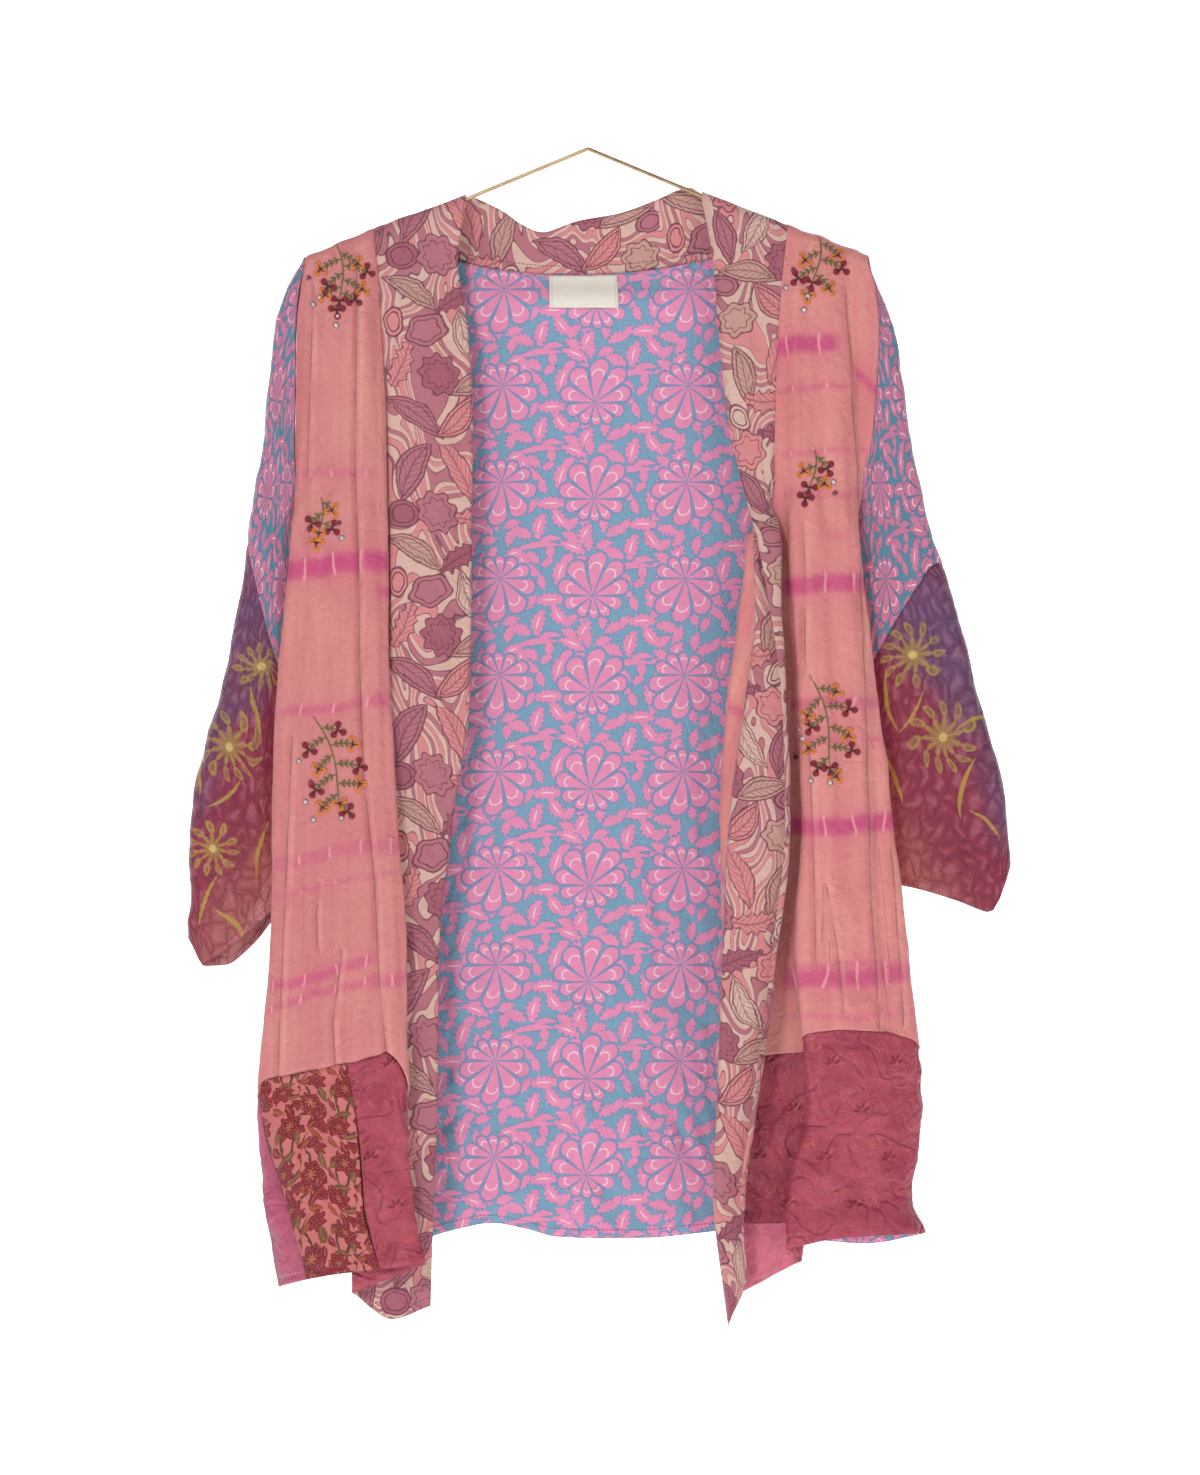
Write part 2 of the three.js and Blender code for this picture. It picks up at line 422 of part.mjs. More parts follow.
// A piece whose rows follow rows(u), between two lines that lean as they go down.
function follow(name, cloth, us, rows, pull, lean = null) {
  const nv = rows(us[0]).length, u0 = us[0], u1 = us[us.length - 1];
  return piece(name, cloth, us.length, nv, (i, j) => {
    let u = us[i];
    if (lean) {
      const t = j / (nv - 1), s = (us[i] - u0) / (u1 - u0);
      u = lerp(lerp(u0, lean[0], t), lerp(u1, lean[1], t), s);
    }
    return [u, rows(u)[j]];
  }, pull);
}
const within = (us, a, b) => [a, ...us.filter((u) => u > a + 1e-6 && u < b - 1e-6), b];
const cuts = (us, ...at) => [...us.filter((u) => at.every((a) => Math.abs(u - a) > 0.12)), ...at].sort((a, b) => a - b);

{
  const seam = left.col('seam'), c = (r) => ribColumn(left, leftRibs, r);
  const [a0, a1] = LEFT_PLAIN_FLORAL.map(c), [b0, b1] = LEFT_FLORAL_RASPBERRY.map(c);
  const us = cuts(steps(0, seam, LEFT_COUNT), a0, b0);
  put(follow('front_left', left, us, leftRows.upper, [2.5, 1, 2, 1.5]));
  put(follow('hem_left_plain', left, within(us, 0, a0), leftRows.lower, [4, 1, 1, 0], [0, a1]));
  put(follow('hem_left_floral', left, within(us, a0, b0), leftRows.lower, [1, 1, 1, 0], [a1, b1]));
  put(follow('hem_left_raspberry', left, within(us, b0, seam), leftRows.lower, [1, 1, 1, 0], [b1, seam]));
  const bandUs = steps(seam, left.cols - 1, left.names.map((n) => (n === 'seam' ? 1 : 2)));
  put(square('band_left', left, bandUs, leftRows.all(seam), [1, 0, 5, 0]));
}
{
  const seam = right.col('seam'), split = right.col('valley+');
  const us = steps(0, seam, RIGHT_COUNT);
  put(follow('front_right', right, us, rightRows.upper, [2.5, 1, 2, 2.3]));
  put(follow('hem_right_raspberry', right, within(us, 0, split), rightRows.lower, [4, 1, 1, 0]));
  const rear = within(us, split, seam);
  put(follow('hem_right_valley', right, rear, (u) => rightRows.lower(u).slice(0, PATCH + 1), [1, 1, 1, 1]));
  put(follow('hem_right_inner', right, rear, (u) => rightRows.lower(u).slice(PATCH), [1, 1, 1, 0]));
  const bandUs = steps(seam, right.cols - 1, right.names.map((n) => (n === 'seam+' || n === 'band+' ? 2 : 1)));
  put(square('band_right', right, bandUs, rightRows.all(seam), [1.5, 0, 6, 0]));
}

// The back's rows lean from the left side seam's to the right one's.
const upperBack = [1, 1.5, 2, 2.5];
const backRows = [leftRows.all(0), rightRows.all(0)].map((r) => [...upperBack, ...r.filter((v) => v >= 4).map((v) => v - 1)]);
put(piece('back_panel', back, BACK_LAST + 1, backRows[0].length,
  (i, j) => [i, lerp(backRows[0][j], backRows[1][j], i / BACK_LAST)], [1, 1, 2, 0]));
put(square('band_neck', back, within(steps(COLLAR_FROM, COLLAR_TO, 1), COLLAR_FROM + COLLAR_INSET, COLLAR_TO - COLLAR_INSET), steps(0, 1, 3), [2, 2, 0, 2]));

for (const [side, cloth] of [['left', sleeveLeft], ['right', sleeveRight]]) {
  const us = steps(0, cloth.cols - 1, [2, 2, 2, 1, 2, 2, 2, 2, 2, 2]);
  const last = cloth.rows - 1, mid = (cloth.cols - 1) / 2;
  const [outer, inner] = SLEEVE_PATCH[side];
  const cut = (u) => lerp(outer, inner, Math.abs(u - mid) / mid);
  put(piece(`sleeve_${side}_top`, cloth, us.length, 8, (i, j) => [us[i], cut(us[i]) * j / 7], [0, 0, 3, 1]));
  put(piece(`sleeve_${side}_low`, cloth, us.length, 8, (i, j) => [us[i], lerp(cut(us[i]), last, j / 7)], [0, 0, 1, 0]));
}

// Woven label, sewn to the inside of the back by its upper edge.
put(square('neck_label', back, [8, 9, 9.66], [1.05, 1.5, 2, 2.25], [0, 0, 0, 0], LABEL_LIFT));

// ---------------------------------------------------------------- hanger
// One length of wire bent to a shallow roof, with a small kink at its apex.
function hanger() {
  const path = [
    [-WIRE_TIP[0], 0, WIRE_TIP[1]], [-WIRE_SHOULDER[0], 0, WIRE_SHOULDER[1]],
    [-4, 0, -1.4], [0, 0, 0], [4, 0, -1.4],
    [WIRE_SHOULDER[0], 0, WIRE_SHOULDER[1]], [WIRE_TIP[0], 0, WIRE_TIP[1]],
  ];
  const sides = 8, pos = [], tri = [];
  path.forEach((p, k) => {
    const t = unit(sub(path[Math.min(k + 1, path.length - 1)], path[Math.max(k - 1, 0)]));
    const across = [0, 1, 0], up = cross(across, t);
    for (let s = 0; s < sides; s++) {
      const a = s / sides * Math.PI * 2;
      pos.push(...add(add(p, across, Math.cos(a) * WIRE / 2), up, Math.sin(a) * WIRE / 2));
    }
  });
  for (let k = 0; k < path.length - 1; k++) for (let s = 0; s < sides; s++) {
    const a = k * sides + s, b = k * sides + (s + 1) % sides;
    tri.push(a, b, b + sides, a, b + sides, a + sides);
  }
  const end = (path.length - 1) * sides;
  for (let s = 1; s < sides - 1; s++) { tri.push(0, s + 1, s); tri.push(end, end + s, end + s + 1); }
  return mesh('hanger', pos, tri);
}
put(hanger());

export default group;
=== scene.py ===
# %% [markdown]
# # An open silk kimono on a wire hanger
# The jacket is patched together from thin silks: a printed back, two dyed fronts with sewn flowers,
# a printed neckband, batik sleeve ends and coloured hems. Each cut piece is one thin sheet with its
# own finish. The frame gives the hidden solid of every piece, and each sheet here stands for one.

# %% Load the frame
import functools
import math
import bpy
import numpy as np
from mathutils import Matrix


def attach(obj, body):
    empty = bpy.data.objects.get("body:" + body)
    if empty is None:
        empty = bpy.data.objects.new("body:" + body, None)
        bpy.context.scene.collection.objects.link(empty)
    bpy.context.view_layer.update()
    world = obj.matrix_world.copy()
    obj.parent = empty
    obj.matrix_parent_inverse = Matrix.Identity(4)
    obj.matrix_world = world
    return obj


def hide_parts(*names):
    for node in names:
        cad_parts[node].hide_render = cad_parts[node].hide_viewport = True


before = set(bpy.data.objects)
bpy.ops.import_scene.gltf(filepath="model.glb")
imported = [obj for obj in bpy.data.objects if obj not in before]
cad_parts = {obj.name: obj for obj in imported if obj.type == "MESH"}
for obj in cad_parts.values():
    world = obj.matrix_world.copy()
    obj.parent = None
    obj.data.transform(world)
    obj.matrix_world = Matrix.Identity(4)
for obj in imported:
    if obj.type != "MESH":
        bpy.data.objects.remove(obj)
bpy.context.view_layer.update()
MM = 0.001

# %% Meshes from arrays, and empty finishes
def build(name, points, groups):
    """An object at the origin: points in metres, and groups of faces with one face a row in each."""
    corners = np.concatenate([np.ravel(g) for g in groups])
    sizes = np.concatenate([np.full(len(g), np.shape(g)[1]) for g in groups])
    mesh = bpy.data.meshes.new(name)
    mesh.vertices.add(len(points))
    mesh.vertices.foreach_set("co", points.ravel())
    mesh.loops.add(len(corners))
    mesh.loops.foreach_set("vertex_index", corners)
    mesh.polygons.add(len(sizes))
    mesh.polygons.foreach_set("loop_start", np.concatenate([[0], np.cumsum(sizes)[:-1]]))
    mesh.update(calc_edges=True)
    mesh.polygons.foreach_set("use_smooth", np.ones(len(sizes), bool))
    piece = bpy.data.objects.new(name, mesh)
    bpy.context.collection.objects.link(piece)
    return piece, corners


def lay_flat(piece, corners, uv):
    """Stores the flat coordinates uv, in millimetres a point, as the map that the finishes read."""
    layer = piece.data.uv_layers.new(name="flat")
    layer.data.foreach_set("uv", (uv[corners] * MM).ravel())


def blank(name):
    """A new finish, its node tree and its shader."""
    finish = bpy.data.materials.new(name)
    finish.use_nodes = True
    return finish, finish.node_tree, finish.node_tree.nodes["Principled BSDF"]


print("mesh helpers ready")

# %% [markdown]
# ## Camera, backdrop and light
# A hung garment is looked at square on. A long lens from far away keeps its outline true, and a
# pale sweep with three wide soft lamps shows the colours without hard shadows.

# %% Camera
VIEW_CENTRE = (9.6, -470.8)
VIEW_WIDTH = 960.0
DISTANCE = 6000.0
camera = bpy.data.cameras.new("camera")
camera.sensor_fit = "HORIZONTAL"
camera.sensor_width = 36.0
camera.lens = 36.0 * DISTANCE / VIEW_WIDTH
camera.clip_end = 60.0
eye = bpy.data.objects.new("camera", camera)
eye.location = (VIEW_CENTRE[0] * MM, -DISTANCE * MM, VIEW_CENTRE[1] * MM)
eye.rotation_euler = (math.pi / 2, 0.0, 0.0)
bpy.context.collection.objects.link(eye)
bpy.context.scene.camera = eye
print("camera", tuple(eye.location), camera.lens)

# %% Backdrop
def sweep(name, profile, half):
    """A sheet: the profile of (y, z) points carried straight along x from -half to half."""
    line = np.array(profile, float)
    left = np.column_stack([np.full(len(line), -half), line])
    right = np.column_stack([np.full(len(line), half), line])
    n = len(line)
    k = np.arange(n - 1)
    faces = np.column_stack([k, k + n, k + 1 + n, k + 1])
    return build(name, np.vstack([left, right]), [faces])[0]


FLOOR = -1.5
WALL = 1.5
CURVE = 0.6
turn = np.linspace(0, math.pi / 2, 12)
bend = np.column_stack([WALL - CURVE + CURVE * np.sin(turn), FLOOR + CURVE * (1 - np.cos(turn))])
room = sweep("backdrop", [(-4.0, FLOOR)] + bend.tolist() + [(WALL, 2.5)], 5.0)
paper, tree, shader = blank("backdrop_paper")
shader.inputs["Base Color"].default_value = (0.95, 0.95, 0.95, 1)
shader.inputs["Roughness"].default_value = 0.9
shader.inputs["Emission Color"].default_value = (1, 1, 1, 1)
shader.inputs["Emission Strength"].default_value = 0.75
# Seen from behind, the paper is clear, so that the back of the garment can be looked at too.
clear = tree.nodes.new("ShaderNodeBsdfTransparent")
either = tree.nodes.new("ShaderNodeMixShader")
facing = tree.nodes.new("ShaderNodeNewGeometry")
for source, target in ((facing.outputs["Backfacing"], either.inputs[0]),
                       (shader.outputs[0], either.inputs[1]), (clear.outputs[0], either.inputs[2]),
                       (either.outputs[0], tree.nodes["Material Output"].inputs["Surface"])):
    tree.links.new(source, target)
room.data.materials.append(paper)
print("backdrop faces", len(room.data.polygons))

# %% Lamps
def lamp(name, place, target, size, power):
    """A square soft lamp that faces its target."""
    light = bpy.data.lights.new(name, "AREA")
    light.size = size
    light.energy = power
    thing = bpy.data.objects.new(name, light)
    thing.location = place
    aim = np.array(target) - np.array(place)
    flat = math.hypot(aim[0], aim[1])
    thing.rotation_euler = (math.atan2(flat, -aim[2]), 0.0, math.atan2(-aim[0], aim[1]))
    bpy.context.collection.objects.link(thing)


lamp("key", (-1.3, -3.15, 1.6), (0, 0, -0.45), 0.7, 54)
lamp("fill", (2.0, -3.0, 0.3), (0, 0, -0.5), 2.0, 15)
lamp("rear", (1.6, 2.6, 0.8), (0, 0.0, -0.5), 1.5, 22)
world = bpy.data.worlds.new("soft_room")
world.use_nodes = True
world.node_tree.nodes["Background"].inputs["Color"].default_value = (1, 1, 1, 1)
world.node_tree.nodes["Background"].inputs["Strength"].default_value = 0.24
bpy.context.scene.world = world
bpy.context.scene.view_settings.view_transform = "Standard"
print("lamps", len(bpy.data.lights))

# %% [markdown]
# ## A cloth is a smooth surface through a grid of points
# A cutter thinks of lines down the cloth (folds, seams, edges) and of heights. So each cloth is a
# small table: one column for each lengthwise line, one row for each height. A curve that never
# swings past its points runs across the columns, then down the rows.

# %% Smooth surface through a grid
def slope(a, b):
    """Harmonic mean of two neighbouring steps, and zero where they turn round."""
    total = a + b
    safe = np.where(np.abs(total) < 1e-12, 1.0, total)
    return np.where(a * b <= 0, 0.0, 2 * a * b / safe)


def blend_step(before, p0, p1, after, t):
    """Cubic from p0 to p1 whose end slopes are the harmonic means of the steps beside them."""
    d = p1 - p0
    m0 = slope(before, d)
    m1 = slope(d, after)
    t2 = t * t
    t3 = t2 * t
    return p0 * (2 * t3 - 3 * t2 + 1) + m0 * (t3 - 2 * t2 + t) + p1 * (3 * t2 - 2 * t3) + m1 * (t3 - t2)


def surface(grid, u, v):
    """Points of the cloth at columns u and rows v, both arrays of one shape."""
    rows, cols = grid.shape[:2]
    i = np.clip(np.floor(u).astype(int), 0, cols - 2)
    j = np.clip(np.floor(v).astype(int), 0, rows - 2)
    fu = (u - i)[..., None]
    fv = (v - j)[..., None]

    def across(r):
        r = np.clip(r, 0, rows - 1)
        p0 = grid[r, i]
        p1 = grid[r, i + 1]
        d = p1 - p0
        before = np.where((i > 0)[..., None], p0 - grid[r, np.maximum(i - 1, 0)], d)
        after = np.where((i < cols - 2)[..., None], grid[r, np.minimum(i + 2, cols - 1)] - p1, d)
        return blend_step(before, p0, p1, after, fu)

    q = [across(j + k) for k in (-1, 0, 1, 2)]
    d = q[2] - q[1]
    before = np.where((j > 0)[..., None], q[1] - q[0], d)
    after = np.where((j < rows - 2)[..., None], q[3] - q[2], d)
    return blend_step(before, q[1], q[2], after, fv)


def lerp(a, b, t):
    """Straight mix of a and b."""
    return a + (b - a) * t


print("surface helper ready")

# %% [markdown]
# ## The two fronts and their neckband
# A front and its half of the neckband hang as one cloth in deep soft folds, so they share one grid:
# side, fold edge, middle, ridge, turn, band seam, band middle and the free edge of the band.

# %% Lines of the fronts
CLOTH = 1.2
SEAM = 0.3
LEVELS = [-144.8, -216.8, -272.8, -312.8, -368.8, -440.8, -536.8, -648.8, -760.8, -832.8]
LEFT_X = {
    "side": [-226.4, -229, -232.8, -233.6, -235, -220.8, -218, -216, -217.6, -227.2, -256, -252, -243.2],
    "edge": [-222.4, -225, -228.5, -230, -234.2, -237.4, -243.2, -248.2, -252, -254.4, -264, -259.2, -248],
    "mid": [-202.4, -204.8, -208, -209.6, -210.4, -211.2, -213.6, -216, -214.4, -212.8, -216, -212.8, -210.4],
    "ridge": [-184.8, -184.8, -184, -184.8, -184, -183.2, -181.6, -178.8, -172, -165.6, -156.8, -162.4, -168],
    "turn": [-175.2, -172.8, -168, -163.2, -161.6, -160, -159, -157, -150.4, -143.2, -143.2, -138.4, -128.8],
    "seam": [-171.2, -168.8, -164.8, -160.8, -160, -159.2, -159, -160.8, -172.8, -180.8, -185.6, -187.2,
             -187.2],
    "band": [-134.4, -135.2, -130.4, -126.4, -126, -125.6, -125.6, -126.4, -139.2, -149.6, -152.8, -155.2,
             -156],
    "free": [-97.6, -104, -96, -92, -92.4, -92.8, -93.2, -94.4, -108, -119.2, -120, -122.8, -125.6],
}
LEFT_Y = {
    "side": [-5, -8, -9, -2.5, -1, 0, 1, 2, 3, 4, 4, 5],
    "edge": [-6, -9.5, -11, -8, -15, -17, -18, -20, -21, -18, -18, -20],
    "mid": [-8, -14, -17, -20, -23, -25, -28, -31, -33, -35, -35, -36],
    "ridge": [-9, -18, -21, -24, -27, -30, -33, -37, -40, -41, -42, -43],
    "turn": [-9, -15, -18, -21, -24, -27, -30, -34, -37, -38, -39, -40],
    "seam": [-8, -13, -14, -15, -16, -18, -21, -25, -28, -29, -30, -31],
    "band": [-9, -16, -18, -20, -21, -22, -22.5, -20, -21, -22, -23, -24],
    "free": [-8, -12, -12, -12, -12, -12, -12, -13, -14, -15, -16, -17],
}
LEFT_FOLDS = ["edge", "turn", "seam"]
LEFT_TOP_Z = [-86.4, -84.7, -76.3, -68.9, -64.9, -63.2, -49.8, -36.4]
LEFT_NECK_Z = [-106.4, -104, -98.4, -95.2, -92, -90.4, -90.4, -89.6]
LEFT_HEM_Z = [-908, -908.8, -899.2, -893.6, -889.6, -912.8, -934.4, -924]
RIGHT_X = {
    "side": [224, 228, 232.5, 228.5, 219.2, 210.4, 207, 209, 214.4, 227.2, 251.2, 250, 260.8],
    "edge": [211.2, 208.8, 208, 213.6, 215.2, 217.6, 224, 232.6, 242.4, 255.2, 266, 258, 268.8],
    "mid": [196.8, 195.2, 195.2, 198.4, 200, 203, 209, 215.6, 222.4, 228.8, 238.4, 238, 244],
    "crease": [180.8, 176, 174.4, 176, 177.6, 180.4, 184, 188, 193.6, 196.8, 203.2, 204, 204],
    "turn": [169.6, 163.2, 161.2, 160.2, 160.5, 161.6, 162.8, 167.2, 169.6, 165.6, 175.2, 159.2, 158.4],
    "valley": [166.4, 160.8, 158, 156.4, 157.5, 163, 166.4, 175.2, 177.6, 174.4, 182.4, 173.6, 171.2],
    "rear": [164.4, 159.6, 156.4, 154.6, 153, 150, 143, 143, 141, 142, 150, 146, 147],
    "roll": [162.4, 158.4, 154.8, 152.8, 148.6, 127.2, 119.6, 110.8, 104, 108.8, 117.6, 118, 123.2],
    "seam": [159.2, 156, 152, 149, 148, 131.2, 132.8, 124.8, 112, 106, 102.4, 99.2, 111.2],
    "band": [125.6, 127.2, 128, 131.2, 140, 152.8, 154, 157.6, 160.8, 149.6, 135.2, 124.8, 120],
    "free": [91.2, 100, 104, 112, 124, 134.4, 144.8, 154.4, 156.8, 145.6, 131.2, 121.6, 126.4],
}
RIGHT_Y = {
    "side": [-5, -8, -9, -2.5, -1, 0, 1, 2, 3, 4, 4, 5],
    "edge": [-7, -11, -13, -10, -16, -18, -20, -21, -22, -20, -20, -20],
    "mid": [-9, -16, -19, -21, -23, -26, -29, -31, -33, -34, -35, -36],
    "crease": [-10, -18, -21, -25, -27, -30, -34, -37, -39, -40, -41, -42],
    "turn": [-9, -15, -18, -21, -24, -28, -31, -34, -36, -37, -38, -39],
    "valley": [-8.5, -14, -16, -18, -18, -20, -22, -24, -26, -27, -28, -29],
    "rear": [-8.5, -13.7, -15.7, -16.5, -14, -13, -14, -15, -16, -17, -18, -19],
    "roll": [-8.5, -13.5, -15.4, -16.8, -18, -19, -21, -23, -24, -25, -26, -27],
    "seam": [-8.5, -13, -15, -18, -24.5, -27, -29, -31, -32, -33, -34, -35],
    "band": [-9, -15, -18, -22, -30, -33, -36, -38, -39, -40, -41, -42],
    "free": [-8, -12, -14, -21, -34.5, -38.5, -41, -43, -44, -45, -46, -47],
}
RIGHT_FOLDS = ["edge", "turn", "valley", "roll", "seam", "band"]
RIGHT_TOP_Z = [-85.9, -80.9, -75.3, -69.1, -64.7, -63.5, -62.7, -61.9, -60.7, -47.5, -34.2]
RIGHT_NECK_Z = [-104.8, -100.8, -96.8, -95.2, -95.2, -95.2, -95.2, -95.2, -95.2, -93.6, -90.4]
RIGHT_HEM_Z = [-869.6, -865.6, -866.4, -868.0, -877.6, -887.2, -900.0, -912.8, -938.4, -917.6, -900.0]
print("lines", len(LEFT_X), len(RIGHT_X))

# %% Grids of the fronts
def fold_out(ribs, folds, rows):
    """Each fold's column becomes three, 3 mm to each side of the turn, so the turn is round."""
    names = []
    parts = []
    for c, rib in enumerate(ribs):
        fold = rib in folds and 0 < c < len(ribs) - 1
        for step in ((-1, 0, 1) if fold else (0,)):
            p = rows[:, c]
            if step:
                d = rows[:, c + step] - p
                size = np.abs(d)
                along = np.sign(d[:, 0]) * np.minimum(3.0, 0.4 * size[:, 0])
                deep = 0.42 * size[:, 1] + 0.38 * np.maximum(0, size[:, 1] - 2)
                through = np.sign(d[:, 1]) * np.minimum(3.5, deep)
                wide = size[:, 0] > 1e-6
                share = np.where(wide, along / np.where(wide, d[:, 0], 1), 0.4)
                p = p + np.column_stack([along, through, d[:, 2] * share])
            names.append(rib + ("-", "", "+")[step + 1])
            parts.append(p)
    return names, np.stack(parts, 1)


def front(X, Y, folds, top_z, neck_z, hem_z):
    """Rows: behind the shoulder, over the wire, before it, below it, the ten heights, the hem."""
    ribs = list(X)
    x = np.array([X[r] for r in ribs], float)
    y = np.array([Y[r] for r in ribs], float)
    top = np.array(top_z, float)
    sewn = ribs.index("seam")
    c = np.arange(len(ribs))
    w = np.maximum(0, (x[:, 0] - x[sewn, 0]) / (x[-1, 0] - x[sewn, 0]))
    z0 = np.where(c <= sewn, top - 8.0, lerp(top[sewn] - 8.0, top[-1] - 2.4, w))
    y0 = np.where(c <= sewn, 5.0, lerp(5.0, 2.9, w))
    rows = [np.column_stack([x[:, 0], y0, z0])]
    rows.append(np.column_stack([x[:, 0], 0 * y0, top]))
    rows.append(np.column_stack([x[:, 0], 0 * y0 - 4.5, top - 6.0]))
    rows.append(np.column_stack([x[:, 1], y[:, 0], neck_z]))
    for k, z in enumerate(LEVELS):
        rows.append(np.column_stack([x[:, k + 2], y[:, k + 1], np.full(len(ribs), z)]))
    rows.append(np.column_stack([x[:, -1], y[:, -1], hem_z]))
    return fold_out(ribs, folds, np.stack(rows))


LEFT_NAMES, LEFT = front(LEFT_X, LEFT_Y, LEFT_FOLDS, LEFT_TOP_Z, LEFT_NECK_Z, LEFT_HEM_Z)
RIGHT_NAMES, RIGHT = front(RIGHT_X, RIGHT_Y, RIGHT_FOLDS, RIGHT_TOP_Z, RIGHT_NECK_Z, RIGHT_HEM_Z)
print("front grids", LEFT.shape, RIGHT.shape)

# %% [markdown]
# ## The back, the collar behind the neck and the sleeves
# The back is one wide cloth that hangs almost flat from the shoulders. The collar stands up from its
# upper edge. Each sleeve is a flat tube that starts at the armhole and is open at the cuff.

# %% Grid of the back
BACK_SEAM = np.array([
    [-226.4, 5.0, -94.4], [-200.0, 5.0, -83.3], [-171.2, 5.0, -71.2], [-150, 10, -79],
    [-125, 14, -85.5], [-104, 17, -89], [-77.6, 18, -94.5], [-52, 19, -97.6],
    [-31.2, 20, -99.2], [0, 20, -99.2], [35, 20, -97.3], [68, 19, -92.8],
    [99, 17, -86.4], [122, 13.5, -79.5], [142, 9.5, -73.5], [159.2, 5.0, -68.7],
    [192, 5.0, -81.5], [224, 5.0, -93.9],
])
COLLAR_TOP = np.array([
    [-226.4, 0, -86.4], [-200, 0, -75.3], [-97.6, 2.9, -38.8], [-94, 6, -37.2],
    [-88, 9, -39.5], [-80, 11, -43], [-68, 12, -49], [-53, 13, -59.5],
    [-36, 14, -65.6], [-8, 15, -56.5], [25, 14, -50.4], [52, 12, -41],
    [73, 10, -32.0], [81, 8, -30.4], [87, 5.8, -33.5], [91.2, 2.9, -36.6],
    [192, 0, -73.4], [224, 0, -85.9],
])
BACK_DEPTH = [12, 15, 17, 18, 19, 20, 21, 22, 23, 24, 24.5, 25]
BACK_HEM_Z = np.array([-908, -903, -893, -883, -873, -866, -861, -866, -872, -873,
                       -873, -869, -866, -869, -872, -875, -877, -869.6])
BACK_FOLDS = [(-96, 16, -2.6, -560, -900), (-38, 18, 2.2, -700, -900), (8, 20, -2.8, -640, -900),
              (55, 15, 3.2, -380, -900), (92, 16, -2.4, -560, -900)]


def back_row(ends, depth, z):
    """One height of the back: flat at its depth, drawn forward to the side seams at both ends."""
    (xl, yl), (xr, yr) = ends
    s = (BACK_SEAM[:, 0] - BACK_SEAM[0, 0]) / (BACK_SEAM[-1, 0] - BACK_SEAM[0, 0])
    x = lerp(xl, xr, s)
    inset = np.minimum(1, np.minimum(s, 1 - s) / 0.13)
    y = lerp(np.where(s < 0.5, yl, yr), depth, np.sin(inset * np.pi / 2))
    for middle, wide, deep, start, end in BACK_FOLDS:
        grow = np.clip((start - z) / (start - end) * 1.6, 0, 1)
        y = y + deep * np.exp(-(((x - middle) / wide) ** 2)) * grow
    y[0] = yl
    y[-1] = yr
    return np.column_stack([x, y, z])


back_rows = [COLLAR_TOP, BACK_SEAM]
below_seam = np.minimum(-121, BACK_SEAM[:, 2] - 18)
back_rows.append(back_row([(-230.5, 7.5), (229.8, 7.5)], BACK_DEPTH[0], below_seam))
for k in range(len(LEVELS) + 1):
    lift = 1.2 if k == 2 else 0.0
    yl = 8 if k < 2 else LEFT_Y["side"][k + 1] + lift
    yr = 8 if k < 2 else RIGHT_Y["side"][k + 1] + lift
    ends = [(LEFT_X["side"][k + 2], yl), (RIGHT_X["side"][k + 2], yr)]
    height = np.full(len(BACK_SEAM), LEVELS[k]) if k < len(LEVELS) else BACK_HEM_Z
    back_rows.append(back_row(ends, BACK_DEPTH[k + 1], height))
BACK = np.stack(back_rows).astype(float)
print("back grid", BACK.shape)

# %% Grids of the sleeves
LEFT_SLEEVE = [(-249.0, -140.8, -234.5, -312, 9), (-257.5, -220.0, -238.0, -366, 10),
               (-269.5, -300.8, -240.5, -418, 11), (-277.6, -360.8, -242.0, -458, 11),
               (-294.4, -440.8, -244.5, -508, 11), (-315.0, -520.8, -246.5, -552, 11)]
LEFT_CUFF = ([-248, -268, -290, -307, -319.5], [-605, -623, -641, -650.5, -631],
             [-612, -636, -653, -654, -631])
RIGHT_SLEEVE = [(247.0, -152.0, 216.0, -310, 9), (258.5, -228.0, 219.0, -360, 10),
                (272.5, -296.0, 224.0, -408, 11), (292.0, -360.8, 228.5, -448, 11),
                (313.6, -440.8, 234.5, -498, 11), (335.0, -520.8, 239.5, -540, 11)]
RIGHT_CUFF = ([245, 266, 294, 321, 338.5], [-588, -592.5, -601, -610.5, -572],
              [-586, -588, -597, -608, -572])


def sleeve(body, side_column, stations, cuff, clear):
    """A flat tube: the armhole, six stations from outer fold to underarm, and the cuff."""
    edge = (CLOTH + SEAM) / 2
    armhole = np.vstack([body[6::-1, 0], BACK[2:6, side_column]])
    away = np.where(np.abs(np.arange(11) - 5) < 2, 0.2, clear)
    armhole[:, 0] += np.sign(armhole[:, 0]) * away
    armhole[0, 1] -= edge
    armhole[10, 1] += edge
    rows = [armhole]
    part = np.array([0, 0.33, 0.66, 0.9, 0.975, 1.0])
    bulge = np.array([0, 0.8, 1, 0.85, 0.5, 0])
    for ox, oz, ix, iz, half in stations:
        deep = np.where(part < 0.95, np.maximum(edge, half * bulge), half * bulge)
        face = np.column_stack([lerp(ix, ox, part), -deep, lerp(iz, oz, part)])
        rows.append(np.vstack([face, (face * [1, -1, 1])[4::-1]]))
    x, front_z, rear_z = (np.array(c, float) for c in cuff)
    deep = np.array([edge, 8, 10, 8.5])
    lips = []
    for z, sign in ((front_z, -1), (rear_z, 1)):
        lip = [lerp(x[3], x[4], 0.78), sign * 5.0, lerp(z[3], z[4], 0.7)]
        lips.append(np.vstack([np.column_stack([x[:4], sign * deep, z[:4]]), lip]))
    rows.append(np.vstack([lips[0], [x[4], 0, front_z[4]], lips[1][::-1]]))
    return np.stack(rows)


